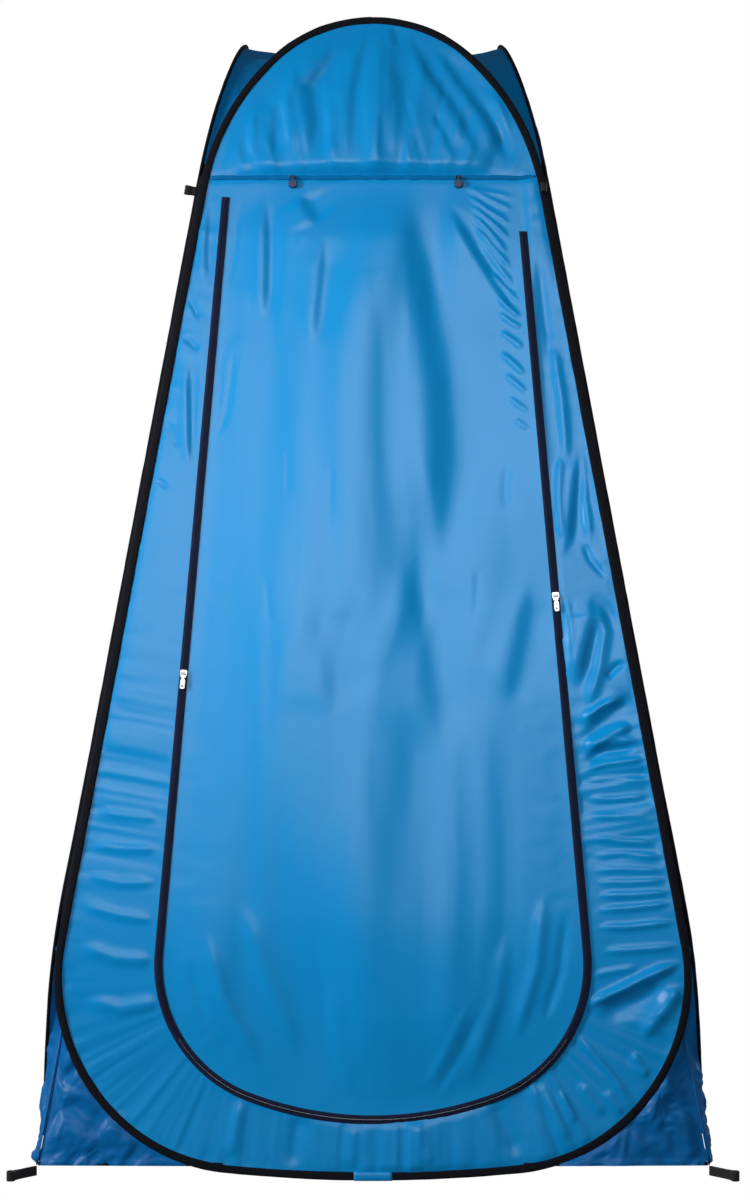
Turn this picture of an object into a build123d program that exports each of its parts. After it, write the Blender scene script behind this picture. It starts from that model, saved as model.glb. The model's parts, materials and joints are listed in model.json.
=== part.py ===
from build123d import *
from math import sin, cos, atan2, sqrt, radians, degrees, pi
import os

# Privacy shower tent: four leaning panels, each edged by its own closed spring-steel hoop,
# joined along four corner seams, with a four-gore roof and a U-zip door in the front panel.
# Millimetres, +Z up, origin at the centre of the footprint on the ground, front faces -Y.
#
# Each panel has its own plane: across (to the right, seen from outside), up the panel, and
# outward. A "height" or "low" on a panel part is its distance outward from that plane.

os.makedirs("parts", exist_ok=True)

# ---------------------------------------------------------------- driving dimensions
HALF_BASE = 562.0          # half width of the panel pyramid at the ground
LEAN = 0.17                # inward lean of each panel per unit of height

HOOP_TOP = 1921.0          # hoop centre line at the crown, measured up the panel
HOOP_BOTTOM = 5.4          # hoop centre line at its lowest point
CROWN_R = 228.0
CROWN_DEG = 45.0           # angle the crown arc runs to from the middle
CORNER_R = 300.0           # lower corner arc
SOLE_R = 2400.0            # shallow bottom arc
HOOP_INSET = 7.3           # hoop centre line to corner axis

SHEET_LOW = 3.0            # inner face of the cloth
SHEET_T = 1.0
SHEET_TOP = SHEET_LOW + SHEET_T
SHEET_INSET = 3.0          # hoop centre line to the edge of the cloth

SEAM_UP = 1635.0           # seam between header and door surround
DOOR_TOP = 1530.0

# Zipper centre line: two straight legs, two corner arcs and a shallow bottom arc
ZIP_LEG_ACROSS = 364.5     # leg at the foot of the panel, from the middle
ZIP_LEG_SLOPE = 0.0741
ZIP_BOTTOM = 92.0
ZIP_SOLE_R = 560.0
ZIP_CORNER_R = 220.0
ZIP_TOP_LEFT = 1600.0
ZIP_TOP_RIGHT = 1541.0
ZIP_GAP = 6.5              # zipper centre line to the cut edge of the cloth

TRIM_W = 2000.0            # width of trimming rectangles, wider than any panel

# ---------------------------------------------------------------- panel planes
LEAN_STRETCH = sqrt(1 + LEAN ** 2)
LEAN_COS = 1 / LEAN_STRETCH
LEAN_SIN = LEAN / LEAN_STRETCH
CORNER_SLOPE = LEAN_SIN                    # corner line slope inside a panel
CORNER_STRETCH = sqrt(1 + CORNER_SLOPE ** 2)

TURNS = {"front": 0, "left": -90, "right": 90, "back": 180}     # degrees about Z


def panel_plane(turn):
    c, s = cos(radians(turn)), sin(radians(turn))
    return Plane(
        origin=(HALF_BASE * s, -HALF_BASE * c, 0),
        x_dir=(c, s, 0),
        z_dir=(s, -c, LEAN),
    )


PANELS = {side: panel_plane(turn) for side, turn in TURNS.items()}
FRONT = PANELS["front"]


def corner_across(up, inset):
    """Distance from the panel's middle to a line inset from its corner axis."""
    return HALF_BASE - CORNER_SLOPE * up - inset * CORNER_STRETCH


def crosswise(plane, height=0.0):
    """Plane cutting across x of the given plane: x runs along its y, y along its z."""
    origin = plane.from_local_coords(Vector(0, 0, height))
    return Plane(origin=origin, x_dir=plane.y_dir, z_dir=plane.x_dir)


# ---------------------------------------------------------------- outline geometry
def polar(centre, radius, angle):
    """Point on a circle, the angle taken in degrees from straight up towards the right."""
    x = centre[0] + radius * sin(radians(angle))
    y = centre[1] + radius * cos(radians(angle))
    return (x, y)


def arc(centre, radius, start, end):
    return tuple(polar(centre, radius, angle) for angle in (start, (start + end) / 2, end))


def mirror_point(point):
    return (-point[0], point[1])


def mirrored(segments):
    """The same run of segments on the left side, followed backwards."""
    return [tuple(mirror_point(p) for p in reversed(points)) for points in reversed(segments)]


def draw(segments):
    """Add lines (two points) and arcs (three points) to the open BuildLine."""
    for points in segments:
        if len(points) == 2:
            Line(*points)
        else:
            ThreePointArc(*points)


def inner_circle(normal, distance, radius, sole_radius, sole_up):
    """Circle touching the line normal.p = distance and the sole circle from inside.

    Returns its centre and the angle at which it meets the sole circle.
    """
    sole_centre = (0.0, sole_up + sole_radius)
    foot = (normal[0] * (distance - radius), normal[1] * (distance - radius))
    along = (normal[1], -normal[0])
    x, y = foot[0] - sole_centre[0], foot[1] - sole_centre[1]
    half_b = x * along[0] + y * along[1]
    rest = x * x + y * y - (sole_radius - radius) ** 2
    travel = -half_b + sqrt(half_b * half_b - rest)
    centre = (foot[0] + travel * along[0], foot[1] + travel * along[1])
    return centre, degrees(atan2(centre[0] - sole_centre[0], centre[1] - sole_centre[1]))


# Straight hoop side: outward normal, distance from the origin, angle of the normal
SIDE_NORMAL = (1 / CORNER_STRETCH, CORNER_SLOPE / CORNER_STRETCH)
SIDE_DISTANCE = HALF_BASE / CORNER_STRETCH - HOOP_INSET
SIDE_DEG = degrees(atan2(*SIDE_NORMAL))

# The shoulder arc leaves the crown arc tangentially and meets the side tangentially
CROWN_CENTRE = (0.0, HOOP_TOP - CROWN_R)
SHOULDER_COS = cos(radians(SIDE_DEG - CROWN_DEG))
SHOULDER_R = (
    SIDE_DISTANCE - SIDE_NORMAL[1] * CROWN_CENTRE[1] - CROWN_R * SHOULDER_COS
) / (1 - SHOULDER_COS)
SHOULDER_CENTRE = polar(CROWN_CENTRE, CROWN_R - SHOULDER_R, CROWN_DEG)

CORNER_CENTRE, SOLE_DEG = inner_circle(
    SIDE_NORMAL, SIDE_DISTANCE, CORNER_R, SOLE_R, HOOP_BOTTOM)
SOLE_CENTRE = (0.0, HOOP_BOTTOM + SOLE_R)

ZIP_STRETCH = sqrt(1 + ZIP_LEG_SLOPE ** 2)
ZIP_NORMAL = (1 / ZIP_STRETCH, ZIP_LEG_SLOPE / ZIP_STRETCH)
ZIP_DISTANCE = ZIP_LEG_ACROSS / ZIP_STRETCH
ZIP_LEG_DEG = degrees(atan2(*ZIP_NORMAL))
ZIP_CORNER_CENTRE, ZIP_SOLE_DEG = inner_circle(
    ZIP_NORMAL, ZIP_DISTANCE, ZIP_CORNER_R, ZIP_SOLE_R, ZIP_BOTTOM)
ZIP_SOLE_CENTRE = (0.0, ZIP_BOTTOM + ZIP_SOLE_R)


def hoop_outline(offset):
    """Closed hoop outline, offset outside the centre line. Used inside a BuildLine."""
    crown = arc(CROWN_CENTRE, CROWN_R + offset, 0, CROWN_DEG)
    shoulder = arc(SHOULDER_CENTRE, SHOULDER_R + offset, CROWN_DEG, SIDE_DEG)
    corner = arc(CORNER_CENTRE, CORNER_R + offset, SIDE_DEG, SOLE_DEG)
    sole = arc(SOLE_CENTRE, SOLE_R + offset, SOLE_DEG, 180)
    right = [crown, shoulder, (shoulder[-1], corner[0]), corner, sole]
    draw(right + mirrored(right))


def zip_across(offset, up):
    """Distance from the middle to a zipper leg."""
    return (ZIP_DISTANCE + offset) * ZIP_STRETCH - ZIP_LEG_SLOPE * up


def zip_outline(offset, left_top, right_top):
    """Open U, offset outside the zipper centre line; returns its right and left ends."""
    right_end = (zip_across(offset, right_top), right_top)
    left_end = (-zip_across(offset, left_top), left_top)
    corner = arc(ZIP_CORNER_CENTRE, ZIP_CORNER_R + offset, ZIP_LEG_DEG, ZIP_SOLE_DEG)
    sole = arc(ZIP_SOLE_CENTRE, ZIP_SOLE_R + offset, ZIP_SOLE_DEG, 180)
    right = [corner, sole]
    draw([(right_end, corner[0])] + right + mirrored(right))
    Line(mirror_point(corner[0]), left_end)
    return right_end, left_end


def zip_band(near, far):
    """Closed band between two offsets of the zipper line."""
    near_ends = zip_outline(near, ZIP_TOP_LEFT, ZIP_TOP_RIGHT)
    far_ends = zip_outline(far, ZIP_TOP_LEFT, ZIP_TOP_RIGHT)
    for near_end, far_end in zip(near_ends, far_ends):
        Line(near_end, far_end)


def save(builder, label):
    builder.part.label = label
    export_step(builder.part, "parts/" + label + ".step")


# ---------------------------------------------------------------- hoops
WIRE_R = 1.6
WIRE_HEIGHT = 3.7
CHANNEL_R = 1.75           # wire channel inside the binding
FERRULE_R = 2.2
FERRULE_L = 24.0
BINDING_W = 10.8
BINDING_T = 5.0
BINDING_LOW = 1.2
BINDING_HALF = BINDING_W / 2
FIT = 0.1                  # clearance around the sheet and the ferrule, and in the ferrule bore
SLOT_OFFSET = -2.6         # bottom of the binding's sheet slot, from the hoop centre line


def hoop_section(panel, up):
    """Plane across the hoop wire where it passes the middle of the panel."""
    origin = panel.offset(WIRE_HEIGHT).from_local_coords(Vector(0, up, 0))
    return Plane(origin=origin, x_dir=panel.z_dir, z_dir=panel.x_dir)


def hoop_wire(side):
    panel = PANELS[side]
    with BuildPart() as wire:
        with BuildLine(panel.offset(WIRE_HEIGHT)) as path:
            hoop_outline(0)
        with BuildSketch(hoop_section(panel, HOOP_TOP)):
            Circle(WIRE_R)
        sweep(path=path.wires()[0])
    save(wire, side + "_hoop_wire")


def hoop_ferrule(side):
    """Sleeve on the wire at the middle of the bottom arc."""
    with BuildPart() as ferrule:
        with BuildSketch(hoop_section(PANELS[side], HOOP_BOTTOM).offset(-FERRULE_L / 2)):
            Circle(FERRULE_R)
            Circle(WIRE_R + FIT, mode=Mode.SUBTRACT)
        extrude(amount=FERRULE_L)
    save(ferrule, side + "_hoop_ferrule")


def hoop_binding(side):
    """Flat ring around the wire, hollowed for the sheet edge, the wire and the ferrule."""
    panel = PANELS[side]
    with BuildPart() as binding:
        with BuildSketch(panel.offset(BINDING_LOW)):
            with BuildLine():
                hoop_outline(BINDING_HALF)
            make_face()
            with BuildLine():
                hoop_outline(-BINDING_HALF)
            make_face(mode=Mode.SUBTRACT)
        extrude(amount=BINDING_T)
        with BuildSketch(panel.offset(SHEET_LOW - FIT)):
            with BuildLine():
                hoop_outline(SLOT_OFFSET)
            make_face()
            with BuildLine():
                hoop_outline(-BINDING_HALF - 1)
            make_face(mode=Mode.SUBTRACT)
        extrude(amount=SHEET_T + 2 * FIT, mode=Mode.SUBTRACT)
        with BuildLine(panel.offset(WIRE_HEIGHT)) as path:
            hoop_outline(0)
        with BuildSketch(hoop_section(panel, HOOP_TOP)):
            Circle(CHANNEL_R)
        sweep(path=path.wires()[0], mode=Mode.SUBTRACT)
        with BuildSketch(hoop_section(panel, HOOP_BOTTOM).offset(-FERRULE_L / 2 - 1)):
            Circle(FERRULE_R + FIT)
        extrude(amount=FERRULE_L + 2, mode=Mode.SUBTRACT)
    save(binding, side + "_hoop_binding")


for side in PANELS:
    hoop_wire(side)
    hoop_ferrule(side)
    hoop_binding(side)

# ---------------------------------------------------------------- cloth sheets
SEAM_SLIT = 0.1            # half the slit between header and surround
DOOR_SLIT = 0.3            # half the slit between door steps and above the door
SHEET_TRIM_H = 3000.0
SEAM_TAPE_H = 9.0
SEAM_TAPE_LOW = SHEET_TOP + 0.05
SEAM_TAPE_T = 0.7


def sheet(side, label, bottom=None, top=None, doorway=False):
    """Panel cloth, optionally cut off at bottom or top and opened for the door."""
    with BuildPart() as cloth:
        with BuildSketch(PANELS[side].offset(SHEET_LOW)):
            with BuildLine():
                hoop_outline(-SHEET_INSET)
            make_face()
            if bottom is not None:
                with Locations((0, bottom - SHEET_TRIM_H / 2)):
                    Rectangle(TRIM_W, SHEET_TRIM_H, mode=Mode.SUBTRACT)
            if top is not None:
                with Locations((0, top + SHEET_TRIM_H / 2)):
                    Rectangle(TRIM_W, SHEET_TRIM_H, mode=Mode.SUBTRACT)
            if doorway:
                with BuildLine():
                    ends = zip_outline(ZIP_GAP, DOOR_TOP + DOOR_SLIT, DOOR_TOP + DOOR_SLIT)
                    Line(*ends)
                make_face(mode=Mode.SUBTRACT)
        extrude(amount=SHEET_T)
    save(cloth, label)


def header_seam():
    """Flat tape over the edges of header and surround."""
    with BuildPart() as seam:
        with BuildSketch(FRONT.offset(SEAM_TAPE_LOW)):
            with BuildLine():
                hoop_outline(-BINDING_HALF - 0.3)
            make_face()
            with Locations((0, SEAM_UP)):
                Rectangle(900, SEAM_TAPE_H, mode=Mode.INTERSECT)
        extrude(amount=SEAM_TAPE_T)
    save(seam, "front_header_seam")


sheet("front", "front_header", bottom=SEAM_UP + SEAM_SLIT)
sheet("front", "front_surround", top=SEAM_UP - SEAM_SLIT, doorway=True)
for side in ("left", "right", "back"):
    sheet(side, side + "_wall")
header_seam()

# ---------------------------------------------------------------- door, in flat folding steps
DOOR_STEPS = 8
DOOR_STEP = (DOOR_TOP - (ZIP_BOTTOM + ZIP_GAP)) / DOOR_STEPS
LAST_STEP_TRIM_H = 1000.0  # the last step runs down to the curved bottom edge


def door_step(index):
    """One horizontal strip of the door, counted from the top."""
    high = DOOR_TOP - index * DOOR_STEP - DOOR_SLIT
    low = DOOR_TOP - (index + 1) * DOOR_STEP + DOOR_SLIT
    if index == DOOR_STEPS - 1:
        low = high - LAST_STEP_TRIM_H
    with BuildPart() as flap:
        with BuildSketch(FRONT.offset(SHEET_LOW)):
            with BuildLine():
                ends = zip_outline(-ZIP_GAP, DOOR_TOP + 50, DOOR_TOP + 50)
                Line(*ends)
            make_face()
            with Locations((0, (high + low) / 2)):
                Rectangle(TRIM_W, high - low, mode=Mode.INTERSECT)
        extrude(amount=SHEET_T)
    save(flap, "door_panel_%02d" % (index + 1))


for index in range(DOOR_STEPS):
    door_step(index)

# ---------------------------------------------------------------- zipper
TAPE_REACH = 11.0          # centre line to the far edge of a tape
TAPE_LOW = SHEET_TOP + 0.15
TAPE_T = 0.75
TAPE_TOP = TAPE_LOW + TAPE_T
COIL_W = 1.7
COIL_T = 1.3
COIL_TOP = TAPE_TOP + COIL_T
ZIP_SLIT = 0.3             # centre line to each half

SLIDERS = (("left", -1, 796.0), ("right", 1, 923.0))      # name, side sign, place up the panel
PLATE_BOTTOM_LOW = 2.1
PLATE_BOTTOM_T = 1.4
PLATE_TOP_LOW = COIL_TOP + 0.25
PLATE_TOP_T = 1.3
POST_LOW = PLATE_BOTTOM_LOW + PLATE_BOTTOM_T - 0.1        # sunk 0.1 into both plates
POST_TOP = PLATE_TOP_LOW + 0.1
BAR_HEIGHT = 10.3          # axis of the pull bar
BAR_R = 0.8
BAR_L = 6.0
LUG_R = 1.7
LUG_T = 1.4
LUG_AT = 3.1               # from the middle of the slider
PULL_EYE_R = 1.75
PULL_EYE_L = 4.2
PULL_T = 1.2
STOP_SIZE = 5.0
STOP_DROP = 4.0            # stop centre below the zipper end


def zipper_half(label, sign):
    """Flat tape with a raised coil strip along the centre line."""
    with BuildPart() as half:
        with BuildSketch(FRONT.offset(TAPE_LOW)):
            with BuildLine():
                zip_band(sign * ZIP_SLIT, sign * TAPE_REACH)
            make_face()
        extrude(amount=TAPE_T)
        with BuildSketch(FRONT.offset(TAPE_TOP)):
            with BuildLine():
                zip_band(sign * ZIP_SLIT, sign * (ZIP_SLIT + COIL_W))
            make_face()
        extrude(amount=COIL_T)
    save(half, label)


def leg_plane(sign, up, height=0.0):
    """Plane on a zipper leg: x across the leg, y up the leg, z outward."""
    origin = FRONT.offset(height).from_local_coords(Vector(sign * zip_across(0, up), up, 0))
    leg = FRONT.x_dir * (-sign * ZIP_LEG_SLOPE / ZIP_STRETCH) + FRONT.y_dir * (1 / ZIP_STRETCH)
    return Plane(origin=origin, x_dir=leg.cross(FRONT.z_dir), z_dir=FRONT.z_dir)


def zip_slider(name, base):
    """Two plates joined by a thin post, with two lugs that carry the pull bar."""
    bar = crosswise(base, BAR_HEIGHT)
    with BuildPart() as slider:
        for low, thickness in ((PLATE_TOP_LOW, PLATE_TOP_T), (PLATE_BOTTOM_LOW, PLATE_BOTTOM_T)):
            with BuildSketch(base.offset(low)):
                Rectangle(8.6, 12.5)
                with Locations((0, 1.5)):
                    Rectangle(11, 8)
            extrude(amount=thickness)
        with BuildSketch(base.offset(POST_LOW)):
            with Locations((0, 1.5)):
                Rectangle(0.36, 6)
        extrude(amount=POST_TOP - POST_LOW)
        for side_sign in (-1, 1):
            with BuildSketch(bar.offset(side_sign * LUG_AT - LUG_T / 2)):
                Circle(LUG_R)
                with Locations((0, -1.5)):
                    Rectangle(2 * LUG_R, 3.0)
            extrude(amount=LUG_T)
        with BuildSketch(bar.offset(-BAR_L / 2)):
            Circle(BAR_R)
        extrude(amount=BAR_L)
    save(slider, name + "_zip_slider")


def zip_pull(name, base):
    """Tube on the pull bar, a narrow neck and a rounded tab with a hole."""
    with BuildPart() as pull:
        with BuildSketch(crosswise(base, BAR_HEIGHT).offset(-PULL_EYE_L / 2)):
            Circle(PULL_EYE_R)
            Circle(BAR_R + 0.05, mode=Mode.SUBTRACT)
        extrude(amount=PULL_EYE_L)
        with BuildSketch(base.offset(BAR_HEIGHT - PULL_T / 2)):
            with Locations((0, -7.5)):
                Rectangle(PULL_EYE_L, 12.6)
            with Locations((0, -17)):
                RectangleRounded(7.5, 16, 2.5)
            with Locations((0, -20.5)):
                Circle(1.6, mode=Mode.SUBTRACT)
        extrude(amount=PULL_T)
    save(pull, name + "_zip_pull")


def zip_stops():
    with BuildPart() as stops:
        for sign, top in ((-1, ZIP_TOP_LEFT), (1, ZIP_TOP_RIGHT)):
            with BuildSketch(leg_plane(sign, top - STOP_DROP, COIL_TOP + 0.05)):
                Rectangle(STOP_SIZE, STOP_SIZE)
            extrude(amount=1.0)
    save(stops, "zipper_top_stops")


zipper_half("zipper_frame_side", 1)
zipper_half("zipper_door_side", -1)
for name, sign, up in SLIDERS:
    base = leg_plane(sign, up)
    zip_slider(name, base)
    zip_pull(name, base)
zip_stops()

# ---------------------------------------------------------------- toggles and their anchors
TOGGLES = {"left": -134.0, "right": 143.0}     # place across the panel
TOGGLE_UP = 1634.0
TOGGLE_R = 7.5
TOGGLE_T = 5.0
TOGGLE_HEIGHT = 8.6        # toggle pivot
TOGGLE_EYE_L = 4.4
ANCHOR_LOW = SEAM_TAPE_LOW + SEAM_TAPE_T + 0.1
ANCHOR_LUG_R = 1.8
ANCHOR_LUG_T = 1.2
ANCHOR_LUG_AT = 3.2        # from the middle; also half the rod length
ANCHOR_ROD_R = 0.9


def toggle_plane(across):
    origin = FRONT.offset(TOGGLE_HEIGHT).from_local_coords(Vector(across, TOGGLE_UP, 0))
    return Plane(origin=origin, x_dir=FRONT.x_dir, z_dir=FRONT.z_dir)


def toggle_anchors():
    """For each toggle a base plate with two lugs and a rod between them."""
    with BuildPart() as anchors:
        for across in TOGGLES.values():
            pivot = toggle_plane(across)
            with BuildSketch(pivot.offset(ANCHOR_LOW - TOGGLE_HEIGHT)):
                with Locations((0, 1)):
                    Rectangle(9, 6)
            extrude(amount=0.9)
            rod = crosswise(pivot)
            for sign in (-1, 1):
                with BuildSketch(rod.offset(sign * ANCHOR_LUG_AT - ANCHOR_LUG_T / 2)):
                    Circle(ANCHOR_LUG_R)
                    with Locations((0, -1.6)):
                        Rectangle(2 * ANCHOR_LUG_R, 3.2)
                extrude(amount=ANCHOR_LUG_T)
            with BuildSketch(rod.offset(-ANCHOR_LUG_AT)):
                Circle(ANCHOR_ROD_R)
            extrude(amount=2 * ANCHOR_LUG_AT)
    save(anchors, "toggle_anchors")


def toggle(name, across):
    """Tube on the anchor rod, a short neck and a disc with rounded rims."""
    pivot = toggle_plane(across)
    with BuildPart() as body:
        with BuildSketch(crosswise(pivot).offset(-TOGGLE_EYE_L / 2)):
            Circle(2.0)
            Circle(ANCHOR_ROD_R + 0.05, mode=Mode.SUBTRACT)
        extrude(amount=TOGGLE_EYE_L)
        with BuildSketch(pivot.offset(-1.0)):
            with Locations((0, -3.2)):
                Rectangle(TOGGLE_EYE_L, 3.2)
        extrude(amount=2.0)
        with BuildSketch(pivot.offset(-TOGGLE_T / 2)):
            with Locations((0, -11.5)):
                Circle(TOGGLE_R)
        extrude(amount=TOGGLE_T)
        rim_length = 2 * pi * (TOGGLE_R - 0.1)
        circles = body.edges().filter_by(GeomType.CIRCLE)
        fillet(circles.filter_by(lambda edge: edge.length > rim_length), 1.4)
    save(body, name + "_toggle")


toggle_anchors()
for name, across in TOGGLES.items():
    toggle(name, across)

# ---------------------------------------------------------------- skirts
HEM_UP = 21.0 / LEAN_COS   # the hem lies 21 above the ground
HEM_H = 10.0
HEM_EXTRA = 0.5            # extra hem thickness on each face
SKIRT_TOP = 345.0
SKIRT_INNER = 246.0        # inner edge, from the middle of the panel
SKIRT_INSET = 2.2          # corner axis to the outer edge
SKIRT_GAP = 0.1            # binding to skirt


def skirt_outline(sign):
    Polyline(
        (sign * SKIRT_INNER, HEM_UP),
        (sign * corner_across(HEM_UP, SKIRT_INSET), HEM_UP),
        (sign * corner_across(SKIRT_TOP, SKIRT_INSET), SKIRT_TOP),
        (sign * 300, SKIRT_TOP),
        (sign * SKIRT_INNER, HEM_UP + 40),
        (sign * SKIRT_INNER, HEM_UP),
    )


def skirt(side, sign, label):
    """Corner cloth outside the hoop, with a thicker hem along its bottom."""
    panel = PANELS[side]
    with BuildPart() as cloth:
        with BuildSketch(panel.offset(SHEET_LOW)):
            with BuildLine():
                skirt_outline(sign)
            make_face()
            with BuildLine():
                hoop_outline(BINDING_HALF + SKIRT_GAP)
            make_face(mode=Mode.SUBTRACT)
        extrude(amount=SHEET_T)
        with BuildSketch(panel.offset(SHEET_LOW - HEM_EXTRA)):
            with BuildLine():
                skirt_outline(sign)
            make_face()
            with BuildLine():
                hoop_outline(BINDING_HALF + SKIRT_GAP)
            make_face(mode=Mode.SUBTRACT)
            with Locations((0, HEM_UP + HEM_H / 2)):
                Rectangle(TRIM_W, HEM_H, mode=Mode.INTERSECT)
        extrude(amount=SHEET_T + 2 * HEM_EXTRA)
    save(cloth, label)


for side in PANELS:
    skirt(side, -1, side + "_skirt_left")
    skirt(side, 1, side + "_skirt_right")

# ---------------------------------------------------------------- corner seams and webbing loops
CORNERS = {     # signs of x and y
    "front_left": (-1, -1), "front_right": (1, -1),
    "back_left": (-1, 1), "back_right": (1, 1),
}
CORD_R = 1.0
CORD_BOTTOM_Z = 26.0
CORD_TOP_Z = 1598.0

LOOP_W = 15.0              # webbing width, stake and guy loops alike
NECK_SHORT = 2.0           # the neck ends this far before the eye centre
GUY_UP = 1612.0


def corner_at(x_sign, y_sign, z):
    half = HALF_BASE - LEAN * z
    return Vector(x_sign * half, y_sign * half, z)


def corner_seam(name, signs):
    """Piped cord on the fold line between two panels."""
    bottom = corner_at(*signs, CORD_BOTTOM_Z)
    top = corner_at(*signs, CORD_TOP_Z)
    with BuildPart() as cord:
        with BuildSketch(Plane(origin=bottom, z_dir=top - bottom)):
            Circle(CORD_R)
        extrude(amount=(top - bottom).length)
    save(cord, name + "_corner_seam")


def webbing_loop(label, plane, root, eye_at, neck_t, outer_r, eye_r):
    """Neck along x from root to a round eye at eye_at, as deep as the webbing is wide."""
    neck_end = eye_at - NECK_SHORT
    with BuildPart() as web:
        with BuildSketch(plane):
            with Locations(((neck_end + root) / 2, 0)):
                Rectangle(neck_end - root, neck_t)
            with Locations((eye_at, 0)):
                Circle(outer_r)
                Circle(eye_r, mode=Mode.SUBTRACT)
        extrude(amount=LOOP_W)
    save(web, label)


def stake_loop(name, signs):
    """Loop standing on the ground, x along the footprint's diagonal."""
    plane = Plane(origin=corner_at(*signs, 0), x_dir=(*signs, 0), z_dir=(0, 0, 1))
    webbing_loop(name + "_stake_loop", plane, root=-44.0, eye_at=3.0,
                 neck_t=3.4, outer_r=6.8, eye_r=5.0)


def guy_loop(side):
    """Loop standing outward from the binding on the panel's right edge."""
    panel = PANELS[side]
    origin = panel.from_local_coords(Vector(corner_across(GUY_UP, HOOP_INSET), GUY_UP, 0))
    plane = Plane(origin=origin, x_dir=panel.z_dir, z_dir=panel.y_dir).offset(-LOOP_W / 2)
    webbing_loop(side + "_guy_loop", plane, root=BINDING_LOW + BINDING_T + 0.1, eye_at=19.0,
                 neck_t=3.2, outer_r=5.6, eye_r=4.0)


for name, signs in CORNERS.items():
    corner_seam(name, signs)
    stake_loop(name, signs)
for side in PANELS:
    guy_loop(side)

# ---------------------------------------------------------------- roof
GORE_HEIGHT = -0.8         # arch edge of the gore, just inside the panel plane
GORE_T = 0.8
GORE_SAG = 12.0            # drop of the inner edge at the middle
GORE_GAP = 0.7             # inner edge to the diagonal
# Sections across the panel, from the middle
GORE_STATIONS = [-262, -240, -210, -175, -135, -90, -45, 0, 45, 90, 135, 175, 210, 240, 262]
GORE_END = GORE_STATIONS[-1]


def arch_up(across):
    """Height up the panel of the hoop centre line, on the crown or shoulder arc."""
    across = abs(across)
    if across <= CROWN_R * sin(radians(CROWN_DEG)):
        return CROWN_CENTRE[1] + sqrt(CROWN_R ** 2 - across ** 2)
    return SHOULDER_CENTRE[1] + sqrt(SHOULDER_R ** 2 - (across - SHOULDER_CENTRE[0]) ** 2)


def roof_gore(side):
    """Gore from the panel's arch to the diagonals, lofted in front and turned into place."""
    with BuildPart() as gore:
        for x in GORE_STATIONS:
            up = arch_up(x)
            y = -HALF_BASE + up * LEAN_SIN - GORE_HEIGHT * LEAN_COS
            z = up * LEAN_COS + GORE_HEIGHT * LEAN_SIN
            inner_y = -abs(x) - GORE_GAP
            inner_z = z - GORE_SAG * (1 - (abs(x) / GORE_END) ** 2)
            with BuildSketch(Plane(origin=(x, 0, 0), x_dir=(0, 1, 0), z_dir=(1, 0, 0))):
                with BuildLine():
                    Polyline((y, z), (inner_y, inner_z), (inner_y, inner_z - GORE_T),
                             (y, z - GORE_T), (y, z))
                make_face()
        loft(ruled=True)
    with BuildPart() as placed:
        add(gore.part.rotate(Axis.Z, TURNS[side]))
    save(placed, side + "_roof_gore")


for side in PANELS:
    roof_gore(side)
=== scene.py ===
"""A tall square pop-up tent: four leaning walls on closed wire hoops, with a zipped front door.

Metres, +Z up. The tent stands on z = 0, centred on the Z axis. The front faces -Y, the left side
is at -X. Most pieces are laid out in panel coordinates: x across a wall (positive to the right
seen from outside on the front), y up the slanted wall, z outward from it.
"""
import json
import math

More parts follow.
